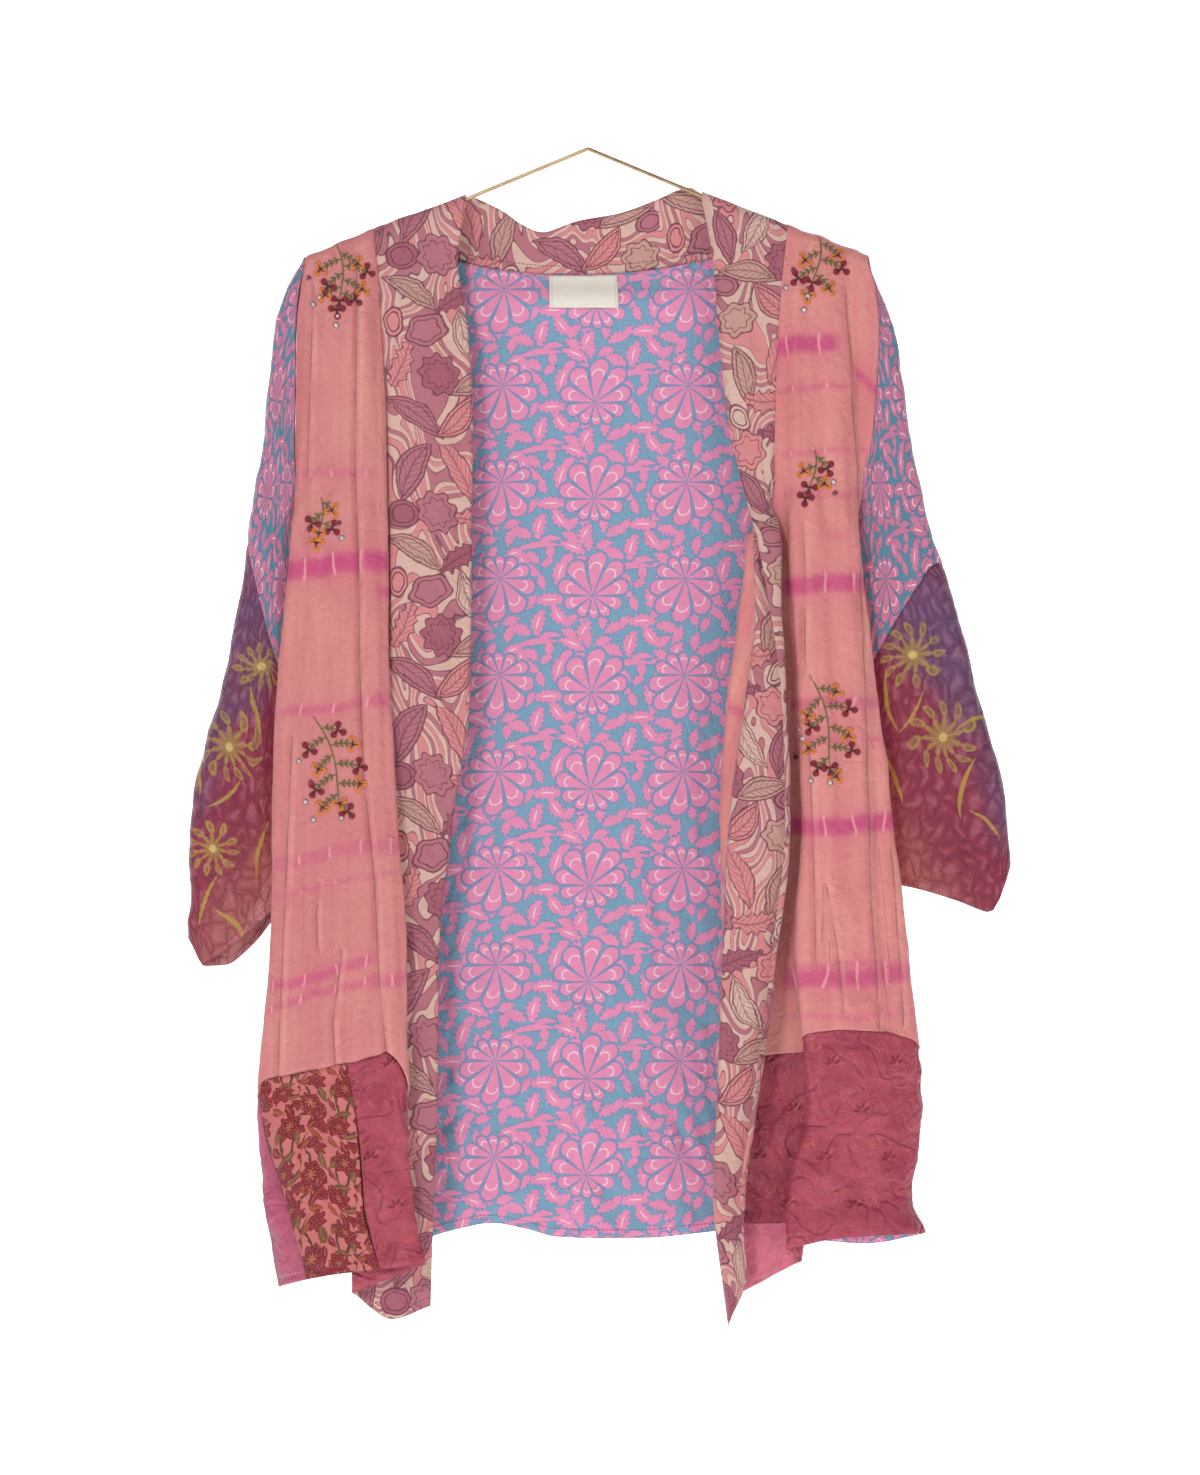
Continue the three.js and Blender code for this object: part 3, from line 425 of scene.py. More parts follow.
SLEEVE_L = sleeve(LEFT, 0, LEFT_SLEEVE, LEFT_CUFF, 0.9)
SLEEVE_R = sleeve(RIGHT, len(BACK_SEAM) - 1, RIGHT_SLEEVE, RIGHT_CUFF, -1.8)
print("sleeve grids", SLEEVE_L.shape, SLEEVE_R.shape)

# %% [markdown]
# ## Fine creases
# Silk that has been folded and hung keeps soft drags, sharp small creases and a faint crumple. They
# are worked out as a height over the smooth cloth: listed lines, plus folded waves.

# %% Height of creases over the cloth
def crease_lines(x, z, lines):
    """Sum of ridges: depth times exp(-(distance / width) squared), fading at the line's two ends."""
    height = np.zeros_like(x)
    for x0, z0, x1, z1, width, depth in lines:
        along = np.array([x1 - x0, z1 - z0])
        length = math.hypot(*along)
        t = ((x - x0) * along[0] + (z - z0) * along[1]) / length ** 2
        away = ((x - x0) * along[1] - (z - z0) * along[0]) / length
        inside = np.clip(1 - (2 * t - 1) ** 2, 0, 1) ** 0.7
        height += depth * np.exp(-((away / width) ** 2)) * inside
    return height


def crumple(x, z, size, amount, seed, stretch=1.0):
    """Folded waves: the absolute value of a sum of sines makes sharp valleys and round ridges."""
    dice = np.random.default_rng(seed)
    total = np.zeros_like(x)
    for octave in (1.0, 1.9, 3.7):
        layer = np.zeros_like(x)
        for _ in range(5):
            angle = dice.uniform(0, 2 * math.pi)
            phase = dice.uniform(0, 2 * math.pi)
            k = 2 * math.pi * octave / size * dice.uniform(0.7, 1.3)
            layer += np.sin(k * (x * math.cos(angle) + z * math.sin(angle) / stretch) + phase)
        total += (1.0 - np.abs(layer) / 2.2) / octave ** 1.1
    return total * amount


print("crease helpers ready")

# %% [markdown]
# ## From a grid to a sheet of cloth
# Each sheet is two layers a millimetre apart, closed round its edge. It also carries what its finish
# needs: its own flat coordinates in metres, and the distances to its hem and to its side edges.

# %% Sheet of cloth
def even(grid, fixed, low, high, step, down):
    """Positions from low to high that lie the same distance apart on the cloth."""
    fine = np.linspace(low, high, 900)
    total = np.zeros(900)
    for f in fixed:
        other = np.full(900, float(f))
        p = surface(grid, other, fine) if down else surface(grid, fine, other)
        total += np.concatenate([[0], np.cumsum(np.linalg.norm(np.diff(p, axis=0), axis=1))])
    total /= len(fixed)
    count = max(3, int(round(total[-1] / step)) + 1)
    return np.interp(np.linspace(0, total[-1], count), total, fine)


def unit(v):
    """Vectors of length one."""
    return v / np.maximum(1e-9, np.linalg.norm(v, axis=-1, keepdims=True))


def sheet(name, P, N, uv, marks, thick, outer):
    """Two layers of the grid P, thick apart along N, with a rim; marks become attributes."""
    nv, nu = P.shape[:2]
    n = nv * nu
    ids = np.arange(n).reshape(nv, nu)
    face = np.stack([ids[:-1, :-1], ids[:-1, 1:], ids[1:, 1:], ids[1:, :-1]], -1).reshape(-1, 4)
    ring = np.concatenate([ids[0, :-1], ids[:-1, -1], ids[-1, :0:-1], ids[:0:-1, 0]])
    after = np.roll(ring, -1)
    rim = np.column_stack([after, ring, ring + n, after + n])
    faces = np.vstack([face, face[:, ::-1] + n, rim])
    points = np.vstack([(P + N * thick / 2).reshape(-1, 3), (P - N * thick / 2).reshape(-1, 3)]) * MM
    piece, corners = build(name, points, [faces])
    lay_flat(piece, corners, np.vstack([uv.reshape(-1, 2)] * 2))
    mesh = piece.data
    for key, value in marks.items():
        store = mesh.attributes.new(key, "FLOAT", "POINT")
        store.data.foreach_set("value", np.concatenate([value.ravel()] * 2))
    side = mesh.attributes.new("side", "FLOAT", "POINT")
    side.data.foreach_set("value", np.repeat([outer, 1.0 - outer], n))
    mesh.validate()
    return piece


SEAM_DIP = 0.55
SEAM_HALF = 1.8
CALM = 12.0


def cloth(node, grid, U, V, slot, relief, sewn, lift=0.0, inward=1.0, marks=None, start=None, thick=0.9,
          tube=False):
    """The sheet that stands for one node: surface(U, V), raised by relief, drawn in at its seams.

    The drawing in is SEAM_DIP exp(-(distance / SEAM_HALF) squared) from each edge that is sewn.
    """
    P = surface(grid, U, V)
    across = np.linalg.norm(np.diff(P, axis=1), axis=2)
    down = np.linalg.norm(np.diff(P, axis=0), axis=2)
    left = np.pad(np.cumsum(across, 1), ((0, 0), (1, 0)))
    top = np.pad(np.cumsum(down, 0), ((1, 0), (0, 0)))
    right = left[:, -1:] - left
    foot = top[-1:] - top
    slant = np.cross(P[1:, 1:] - P[:-1, :-1], P[1:, :-1] - P[:-1, 1:])
    area = float(np.linalg.norm(slant, axis=2).sum()) / 2 * MM * MM
    N = unit(np.cross(np.gradient(P, axis=1), np.gradient(P, axis=0)))
    k = P.shape[1] // 2 if start is None else start
    way = np.sign(P[P.shape[0] // 2, min(k + 1, P.shape[1] - 1), 0] - P[P.shape[0] // 2, k - 1, 0])
    uv = np.stack([P[:, k:k + 1, 0] + way * (left - left[:, k:k + 1]), P[:1, :, 2] - top], -1)
    gaps = np.stack([left, right, top, foot])
    dip = sum(np.exp(-((gaps[e] / SEAM_HALF) ** 2)) for e in range(4) if sewn[e])
    height = relief(P[..., 0], P[..., 2], left, top, foot) if relief else 0.0
    edge_calm = np.minimum(1, np.minimum(np.minimum(left, right), top) / CALM) if any(sewn) else 1.0
    Q = P + N * (height * edge_calm + lift + inward * SEAM_DIP * np.minimum(1, dip))[..., None]
    data = {"hem": foot, "edge_l": left, "edge_r": right}
    for key, value in (marks or {}).items():
        data[key] = value(P[..., 0], P[..., 2])
    M = unit(np.cross(np.gradient(Q, axis=1), np.gradient(Q, axis=0)))
    piece = sheet("cloth_" + node, Q, M, uv, data, thick, float(inward < 0))
    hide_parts(node)
    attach(piece, "root")
    width = float(left[:, -1].max()) * MM
    length = float(top[-1].max()) * MM
    if tube:
        axis = unit(P[-1, :, ::2].mean(0) - P[0, :, ::2].mean(0))
        length = float(np.ptp(P[..., ::2] @ axis)) * MM
        width = 2 * float(np.ptp(P[..., ::2] @ np.array([axis[1], -axis[0]]))) * MM
    area = round(min(area, 0.999 * width * length), 5)
    piece.data.materials.append(FINISH[slot])
    faces = len(piece.data.polygons)
    print(f"{piece.name}: {faces} faces, cut {width * 100:.1f} x {length * 100:.1f} cm, {area} m2")
    return Q


print("sheet helper ready")

# %% [markdown]
# ## Prints and dyes as sums of simple shapes
# A block printer builds a pattern from a few cut shapes. The node trees here do the same: a leaf,
# a petal ring or a pebble is a signed size, less than zero inside, and a table says where each one
# goes in the repeat. Arithmetic on wires keeps those formulas readable.

# %% Arithmetic on shader wires
class Wire:
    """One number in a node tree; sums and products of wires make Math nodes."""

    def __init__(self, tree, socket):
        self.tree = tree
        self.socket = socket

    def math(self, kind, *rest):
        node = add(self.tree, "Math", enumerate((self,) + rest), operation=kind)
        return Wire(self.tree, node.outputs[0])

    def wrap(self, low, high):
        return self.math("WRAP", high, low)

    def smooth(self, low, high):
        """0 at low and 1 at high with a soft step between them."""
        node = add(self.tree, "MapRange", {0: self, 1: low, 2: high}, interpolation_type="SMOOTHSTEP")
        return Wire(self.tree, node.outputs[0])


for word, kind in (("__add__", "ADD"), ("__sub__", "SUBTRACT"), ("__mul__", "MULTIPLY"),
                   ("__truediv__", "DIVIDE"), ("abs", "ABSOLUTE"), ("floor", "FLOOR"), ("least", "MINIMUM"),
                   ("most", "MAXIMUM")):
    setattr(Wire, word, functools.partialmethod(Wire.math, kind))


def colour(r, g, b):
    """A screen colour from 0 to 255 as the linear colour a shader takes."""
    c = np.array([r, g, b]) / 255
    linear = np.where(c <= 0.04045, c / 12.92, ((c + 0.055) / 1.055) ** 2.4)
    return (*[float(v) for v in linear], 1.0)


def put(tree, value, socket):
    """Joins a wire, a socket or a plain value to a socket."""
    if isinstance(value, Wire):
        tree.links.new(value.socket, socket)
    elif isinstance(value, bpy.types.NodeSocket):
        tree.links.new(value, socket)
    else:
        socket.default_value = value


def fill(tree, node, values):
    """Puts each value into the node's input of that name or number."""
    for key, value in dict(values).items():
        put(tree, value, node.inputs[key])
    return node


def add(tree, kind, values=(), **settings):
    """A new shader node of one kind, with its settings and the values of its inputs."""
    node = tree.nodes.new("ShaderNode" + kind)
    for key, value in settings.items():
        setattr(node, key, value)
    return fill(tree, node, values)


def tint(tree, below, above, amount):
    """Colour above laid over colour below by amount."""
    return add(tree, "Mix", {0: amount, 6: below, 7: above}, data_type="RGBA").outputs[2]


def coats(tree, shade, *layers):
    """Layers of a colour and its amount, each laid over what is there."""
    for above, amount in layers:
        shade = tint(tree, shade, above, amount)
    return shade


def attribute(tree, name):
    """One stored number of the mesh."""
    return Wire(tree, add(tree, "Attribute", attribute_name=name).outputs["Fac"])


def parts(tree, vector):
    """The first two numbers of a vector."""
    split = add(tree, "SeparateXYZ", {0: vector}).outputs
    return Wire(tree, split[0]), Wire(tree, split[1])


def flat_mm(tree):
    """The cloth's own flat coordinates in millimetres, x across and y up the piece."""
    x, y = parts(tree, add(tree, "UVMap", uv_map="flat").outputs[0])
    return x * 1000.0, y * 1000.0


def point(tree, x, y):
    """A vector from two wires."""
    return add(tree, "CombineXYZ", {0: x, 1: y}).outputs[0]


def noise(tree, spot, scale, detail=2.0, rough=0.5, twist=0.0):
    """Smooth random value about 0.5."""
    node = add(tree, "TexNoise", {"Vector": spot, "Scale": scale, "Detail": detail, "Roughness": rough,
                                  "Distortion": twist}, noise_dimensions="2D")
    return Wire(tree, node.outputs["Fac"])


def ramp(tree, factor, stops, sharp=False):
    """Colours along a factor; stops are (place, colour)."""
    node = add(tree, "ValToRGB", {0: factor})
    node.color_ramp.interpolation = "CONSTANT" if sharp else "LINEAR"
    bar = node.color_ramp.elements
    while len(bar) < len(stops):
        bar.new(0.5)
    for stop, (place, shade) in zip(bar, sorted(stops)):
        stop.position = place
        stop.color = shade
    return node.outputs[0]


print("wires ready")

# %% Shapes of a print
def place(tree, spot, x, y, turn=0.0, length=1.0, width=1.0):
    """Coordinates of one mark: from its middle, turned by degrees, divided by its half sizes."""
    node = add(tree, "Mapping", {"Vector": spot, "Location": (x, y, 0), "Scale": (length, width, 1),
                                 "Rotation": (0, 0, math.radians(turn))}, vector_type="TEXTURE")
    return parts(tree, node.outputs[0])


def leaf(tree, spot, x, y, turn, length, width, bow=0.0, teeth=0.0):
    """Size of a pointed leaf: |q + bow p2| + p2 - 1, and teeth as a sine along its edge."""
    p, q = place(tree, spot, x, y, turn, length, width)
    square = p * p
    size = (q + square * bow).abs() + square - 1.0
    if teeth:
        size = size + (p * teeth).math("SINE").abs() * 0.34
    return size * width


def disc(tree, spot, x, y, turn, length, width, lobes=0, wave=0.12):
    """Size of an oval or, with lobes, of a scalloped flower: r (1 + wave cos(lobes a)) - 1."""
    p, q = place(tree, spot, x, y, turn, length, width)
    r = (p * p + q * q).math("SQRT")
    if lobes:
        a = q.math("ARCTAN2", p)
        r = r + (a * float(lobes)).math("COSINE") * wave
    return (r - 1.0) * min(length, width)


def nearest(shapes):
    """The least of several sizes: their union."""
    total = shapes[0]
    for shape in shapes[1:]:
        total = total.least(shape)
    return total


print("shapes ready")

# %% [markdown]
# ## Silk
# Crepe silk is a fine twisted weave: a soft sheen, no hard shine, and a grain that only shows close
# up. Every cloth finish here starts from the same weave and adds its own colour.

# %% Silk finish
FINISH = {}


def silk(name, paint, rough=0.5, sheen=0.35, grain=0.25, wrinkle=0.35, crinkle=0.4):
    """A silk finish; paint(tree, x, y) gives its colour from the flat coordinates in millimetres."""
    finish, tree, shader = blank(name)
    x, y = flat_mm(tree)
    shade = paint(tree, x, y)
    spot = point(tree, x, y)
    slub = noise(tree, point(tree, x * 0.15, y), 0.9, 2.0, 0.6)
    fleck = add(tree, "HueSaturation", {"Color": shade, "Value": slub * 0.16 + 0.92})
    weave = (x * 6.3).math("SINE") * (y * 6.3).math("SINE")
    crepe = noise(tree, spot, 1.3, 2.0, 0.65)
    fine = add(tree, "Bump", {"Strength": grain, "Distance": 0.0003, "Height": crepe + weave * 0.25})
    folds = noise(tree, spot, 0.09, 3.0, 0.55, 0.8)
    ridge = (noise(tree, spot, 0.026, 1.0, 0.5, 0.6) - 0.5).abs().smooth(0.0, 0.07)
    broad = add(tree, "Bump", {"Strength": wrinkle, "Distance": 0.004, "Normal": fine.outputs[0],
                               "Height": folds + ridge * crinkle * 0.35})
    fill(tree, shader, {"Base Color": fleck.outputs[0], "Roughness": rough, "Specular IOR Level": 0.35,
                        "Sheen Weight": sheen, "Sheen Roughness": 0.45, "Normal": broad.outputs[0]})
    FINISH[name] = finish
    print(name, "nodes", len(tree.nodes))


STITCH_LENGTH = 3.2


def stitches(tree, shade, thread, inset=7.0):
    """Turned hem: a fine dashed line of stitches at inset mm from the edge."""
    x = flat_mm(tree)[0]
    hem = attribute(tree, "hem")
    line = (hem - inset).abs().smooth(0.55, 0.25)
    dash = (x / STITCH_LENGTH).math("FRACT").smooth(0.28, 0.38)
    return coats(tree, shade, (thread, line * dash * 0.75), (thread, hem.smooth(1.6, 0.4) * 0.35))


print("silk ready")

# %% [markdown]
# ## Print of the back
# Rows of fan flowers stand between leaf scrolls, pink on blue. Every second column is turned upside
# down. One flower and its leaves are worked out; the columns are folded onto that one tile.

# %% Back print
TILE = (74.2, 77.6)
FLOWER_Y = 8.0
FIRST_COLUMN = 66.0
FIRST_ROW = 353.0
ROW_SHIFT = 16.6
PETAL_TURN = math.pi / 5
SCROLL = [
    # x, y, turn, half length, half width, bow, teeth; x from the middle between two columns
    (10.5, 13, 72, 15.5, 6.8, 0.55, 10), (21, 33, -22, 12.5, 5.8, 0.3, 8), (-8, 34.5, 6, 19.0, 2.4, 1.1, 0),
    (-27, 28, 20, 8.5, 5.2, 0.2, 8), (-19.5, 20.5, 112, 10.0, 5.8, 0.35, 9),
    (-12, 24.5, -32, 8.5, 4.8, 0.3, 7), (2.5, -9.5, 2, 14.0, 6.2, 0.25, 10),
    (9.5, -22.5, -52, 12.0, 6.4, -0.45, 9), (-7, -28, 76, 13.0, 6.6, 0.4, 9),
    (30, -34, 62, 10.0, 6.2, 0.2, 8), (-4.5, 4.5, 108, 7.5, 4.2, 0.2, 7),
    (-11.5, 13.5, -42, 8.5, 4.4, -0.3, 7), (27, 22, 18, 8.0, 4.4, 0.3, 7), (2.5, 29, 92, 5.5, 3.6, 0.0, 0),
    (-21, -33, -18, 11.0, 5.6, 0.4, 9), (19, -36.5, -30, 8.5, 4.6, 0.3, 8),
    (-12.5, -11, 60, 7.5, 4.0, 0.4, 7), (13.5, -3, 35, 5.5, 3.2, 0.2, 0),
    (-30.5, -37, 80, 7.5, 4.6, 0.2, 7), (1.5, -38, 12, 10.0, 2.4, 1.2, 0), (33, 36, 85, 7.5, 4.6, 0.3, 8),
    (16, 23.5, 30, 6.0, 3.2, 0.0, 0), (-20, -15, 25, 9.5, 5.0, 0.3, 8), (-29, -9, 80, 8.5, 4.6, 0.3, 8),
    (23, -14, -15, 11.0, 5.4, 0.4, 9), (31.5, -21, 60, 9.0, 4.8, -0.3, 8), (-29, -26, 20, 8.0, 4.6, 0.3, 7),
    (23, 6, 100, 8.5, 4.4, 0.3, 8), (30, 11, 70, 8.0, 4.4, 0.3, 7), (-21, 5, 62, 7.5, 4.2, 0.3, 7),
    (-30, 10, 100, 8.5, 4.4, 0.3, 7), (0, 20.5, 35, 6.5, 3.8, 0.3, 6), (19.5, -26, 48, 7.5, 4.4, 0.3, 8),
]


def scroll_leaves():
    """The table, with a copy below or above of each leaf that crosses the end of the repeat."""
    out = []
    for x, y, turn, length, width, bow, teeth in SCROLL:
        out.append((x, y, turn, length, width, bow, teeth))
        if abs(y) > TILE[1] / 2 - length:
            out.append((x, y - math.copysign(TILE[1], y), turn, length, width, bow, teeth))
    return out


def fan_print(tree, x, y, ground, flower, line, pale):
    """Fan flowers of ten petals, petal length 27 + 8.5 cos(angle), with scroll leaves between."""
    lean = x - y * 0.012 + FIRST_COLUMN
    column = (lean / TILE[0] + 0.5).floor()
    odd = (column.math("MODULO", 2.0)).abs()
    turn = odd * -2.0 + 1.0
    lx = (lean - column * TILE[0]) * turn
    ly = (y + FIRST_ROW - odd * 1.6).wrap(-TILE[1] / 2, TILE[1] / 2) * turn
    down = (ly - FLOWER_Y) * -1.0
    bent = lx + down * down * 0.004
    r = (bent * bent + down * down).math("SQRT")
    a = bent.math("ARCTAN2", down)
    middle = (a / PETAL_TURN + 0.5).floor() * PETAL_TURN
    reach = (middle.math("COSINE") * 8.5) + 27.0
    along = r * (a - middle).math("COSINE")
    side = r * (a - middle).math("SINE")
    tip = along - reach * 0.78
    cap = (tip * tip + side * side).math("SQRT") - reach * 0.212 + 0.7
    wedge = (side.abs() - along * 0.262 + 0.35).most(along - reach * 0.80)
    petal = wedge.least(cap)
    hole = along - reach * 0.62
    arc = ((hole * hole + side * side).math("SQRT") - reach * 0.13).abs().smooth(0.75, 0.35)
    arc = arc * (along - reach * 0.60).smooth(0.0, 0.6)
    strip = (lean / TILE[0]).floor()
    sx = lean - (strip + 0.5) * TILE[0]
    sy = (y + FIRST_ROW + strip * ROW_SHIFT).wrap(-TILE[1] / 2, TILE[1] / 2)
    spot = point(tree, sx, sy)
    leaves = nearest([leaf(tree, spot, *row) for row in scroll_leaves()])
    rough = noise(tree, point(tree, x, y), 0.5, 2.0, 0.6) - 0.5
    leaves = (leaves + rough * 1.6).most(petal * -1.0 + 2.1)
    size = petal.least(leaves) + rough * 0.9
    ribs = nearest([leaf(tree, spot, row[0], row[1], row[2], row[3] * 0.42, 0.55, row[5] * 2)
                    for row in scroll_leaves() if row[4] > 5.1][:10])
    white = (ribs.smooth(0.3, -0.1) * petal.smooth(0.2, 0.8)).most(arc) * size.smooth(-0.2, -0.9)
    return coats(tree, ground, (line, size.smooth(1.5, 0.5) * 0.55), (flower, size.smooth(0.45, -0.15)),
                 (pale, white))


def back_paint(tree, x, y):
    """Pink on blue inside, rose on teal outside."""
    side = attribute(tree, "side")
    mottle = noise(tree, point(tree, x, y), 1.1, 2.0, 0.7).smooth(0.3, 0.7)
    sea = coats(tree, colour(106, 150, 180), (colour(134, 172, 196), mottle), (colour(84, 134, 156), side))
    rose = tint(tree, colour(230, 142, 180), colour(204, 120, 152), side)
    edge = tint(tree, colour(128, 118, 178), colour(110, 96, 144), side)
    shade = fan_print(tree, x, y, sea, rose, edge, colour(247, 205, 216))
    return stitches(tree, shade, colour(92, 62, 104))


silk("back_print", back_paint, rough=0.55, sheen=0.25, grain=0.3, wrinkle=0.4, crinkle=0.6)

# %% [markdown]
# ## Dyed pink silk of the fronts
# The fronts were folded and tied before they were dyed, so bands of magenta cross them, broken by
# pale ticks where the folds kept the dye out. Each band is a row of the table below.

# %% Dye bands
LEFT_DYE = [
    # x and z where the band crosses the middle, slope, half width, strength, from x, to x
    (-232, -262, 0.05, 5, 0.35, -250, -165), (-200, -333, 0.10, 9, 0.95, -250, -120),
    (-215, -448, 0.12, 4.5, 0.55, -250, -120), (-170, -440, 0.06, 7, 0.55, -175, -120),
    (-215, -565, 0.20, 6, 0.42, -260, -120), (-215, -590, 0.22, 3, 0.30, -260, -120),
    (-215, -660, 0.28, 5, 0.62, -260, -165), (-160, -664, 0.10, 6, 0.55, -180, -120),
    (-218, -676, 0.30, 4, 0.5, -262, -160), (-176, -352, -0.1, 5, 0.75, -172, -120),
    (-166, -560, 0.3, 7, 0.45, -170, -120),
]
RIGHT_DYE = [
    (170, -158, 0.10, 8, 0.9, 140, 204), (215, -180, -0.85, 5, 0.7, 205, 250),
    (178, -192, 0.03, 3, 0.45, 150, 212), (180, -243, 0.02, 3, 0.4, 150, 230),
    (180, -277, 0.03, 4, 0.35, 150, 230), (196, -309, 0.02, 5, 0.28, 186, 210),
    (185, -349, 0.05, 8, 0.9, 150, 232), (190, -443, 0.03, 5, 0.55, 150, 250),
    (190, -473, 0.02, 3, 0.35, 150, 250), (190, -541, 0.05, 8, 0.95, 150, 250),
    (200, -565, 0.0, 3, 0.3, 195, 214), (200, -662, 0.06, 8, 0.85, 150, 262),
    (215, -652, 0.05, 4, 0.5, 150, 262), (190, -693, 0.03, 3, 0.3, 150, 262),
    (128, -455, -0.5, 5, 0.6, 100, 150), (125, -590, -0.4, 5, 0.5, 90, 150),
]


def dye(rows):
    """Strength of the dye: soft bands across the cloth with wandering edges."""
    def value(x, z):
        total = np.zeros_like(x)
        for bx, bz, lean, half, strength, low, high in rows:
            wander = 1.2 * np.sin(x / 11.0 + bz) + 0.6 * np.sin(x / 4.1 + bz * 2)
            away = (z - bz - lean * (x - bx) - wander) / half
            ends = np.clip((x - low) / 10, 0, 1) * np.clip((high - x) / 10, 0, 1)
            sharp = np.exp(-away ** 4)
            halo = 0.22 * np.exp(-(away / 2.2) ** 2)
            total = np.maximum(total, strength * np.maximum(sharp, halo) * ends)
        return total
    return value


def pressed(paths):
    """Signed distance to the nearest pressed crease; a path is rows of (depth below the wire, x)."""
    def value(x, z):
        nearest_yet = np.full_like(x, 40.0)
        for path in paths:
            down, across = zip(*path)
            d = x - np.interp(-z, down, across)
            past = np.maximum(0, np.maximum(down[0] + z, -z - down[-1]))
            d = np.where(d < 0, -1, 1) * np.hypot(d, past * 2)
            nearest_yet = np.where(np.abs(d) < np.abs(nearest_yet), d, nearest_yet)
        return nearest_yet
    return value


def pink_paint(tree, x, y):
    """Salmon ground, paler streaks down the cloth, magenta where the dye took, painted shade on the left
    front, and painted shade and highlights at the pressed creases.
    """
    spot = point(tree, x, y)
    streak = noise(tree, point(tree, x * 0.5, y * 0.04), 0.16, 2.0, 0.6)
    cloud = noise(tree, spot, 0.012, 2.0)
    ground = ramp(tree, streak * 0.5 + cloud * 0.5, [
        (0.3, colour(213, 124, 126)), (0.5, colour(220, 136, 134)), (0.7, colour(226, 148, 140))])
    # Painted shade: the left front, from x = -90 mm outward, is darkened to stand for less light falling on
    # it.
    ground = tint(tree, ground, colour(170, 98, 106), x.smooth(-90.0, -150.0) * 0.18)
    took = attribute(tree, "dye")
    torn = noise(tree, point(tree, x * 0.09, y), 0.9, 3.0, 0.7)
    tick = (x / 26.0 + noise(tree, spot, 0.02) * 0.6).math("FRACT")
    tick = (tick - 0.5).abs().smooth(0.060, 0.020)
    amount = (took * (torn * 0.7 + 0.66)).math("MINIMUM", 1.0)
    # Painted light at the pressed creases: fold is the distance to the nearest crease, and a slow noise
    # varies a painted highlight to one side, painted shade to the other and a painted shadow line along it.
    fold = attribute(tree, "crease")
    painted_crease_light = noise(tree, point(tree, x, y * 0.4), 0.09, 2.0).smooth(0.25, 0.6) * 0.7 + 0.3
    return coats(tree, ground, (colour(198, 62, 122), amount * 0.9),
                 (colour(236, 160, 160), tick * took.smooth(0.1, 0.5) * 0.75),
                 (colour(240, 172, 158), (fold - 3.4).abs().smooth(3.2, 0.4) * painted_crease_light * 0.30),
                 (colour(172, 96, 100), (fold + 2.2).abs().smooth(3.0, 0.2) * painted_crease_light * 0.28),
                 (colour(138, 76, 82), fold.abs().smooth(1.0, 0.25) * painted_crease_light * 0.62))


silk("pink_silk", pink_paint, rough=0.42, sheen=0.3, grain=0.22, wrinkle=0.45)

# %% [markdown]
# ## Plain hem silks
# The plain patches are satin weaves: smoother, with a stronger shine along their creases. Their
# only pattern is small sewn sprigs on the raspberry ones.

# %% Plain hem silks
def plain(low, high, thread):
    """Two close tones in soft clouds, and a stitched hem."""
    def paint(tree, x, y):
        cloud = noise(tree, point(tree, x, y), 0.03, 3.0)
        shade = tint(tree, low, high, cloud.smooth(0.35, 0.65))
        return stitches(tree, shade, thread)
    return paint


silk("mauve_silk", plain(colour(180, 82, 110), colour(190, 94, 120), colour(222, 146, 160)), rough=0.36,
     sheen=0.2, grain=0.15, wrinkle=0.6, crinkle=0.7)
silk("pale_pink_silk", plain(colour(206, 100, 128), colour(216, 118, 138), colour(180, 80, 100)), rough=0.4,
     sheen=0.2, grain=0.12, wrinkle=0.5, crinkle=0.8)


def raspberry_paint(tree, x, y):
    """Raspberry ground with small four-petal sprigs and dashed stems on a wide, turned lattice."""
    cloud = noise(tree, point(tree, x, y), 0.03, 3.0)
    row = (y / 38.0).floor()
    spot = point(tree, (x + row * 23.0).wrap(-26.0, 26.0), y.wrap(-19.0, 19.0))
    ring = disc(tree, spot, 4, 5, 20, 4.0, 3.2, 7, 0.12)
    petals = nearest([leaf(tree, spot, -6 + 4 * math.cos(t), -8 + 4 * math.sin(t), math.degrees(t), 3.2, 1.3)
                      for t in (0.4, 1.3, 2.2, 3.1)])
    stem = leaf(tree, spot, -1, -2, 48, 9.5, 0.5, 1.8)
    twig = leaf(tree, spot, 10, -1, 120, 6.5, 0.5, 1.5)
    dashed = (y / 2.0).math("FRACT").smooth(0.35, 0.5)
    shade = coats(tree, colour(164, 60, 80), (colour(178, 74, 92), cloud.smooth(0.35, 0.65)),
                  (colour(130, 30, 52), petals.smooth(0.3, -0.2) * 0.85),
                  (colour(206, 96, 76), ring.abs().smooth(0.7, 0.2) * dashed * 0.8),
                  (colour(204, 96, 80), stem.least(twig).smooth(0.4, 0.0) * dashed * 0.9))
    return stitches(tree, shade, colour(140, 40, 66))


silk("raspberry_silk", raspberry_paint, rough=0.33, sheen=0.2, grain=0.15, wrinkle=0.85, crinkle=1.0)

# %% [markdown]
# ## Flowered hem patch
# A dense small print of red blooms, olive leaves and thin dark stems on pink, in a repeat no wider
# than a hand.

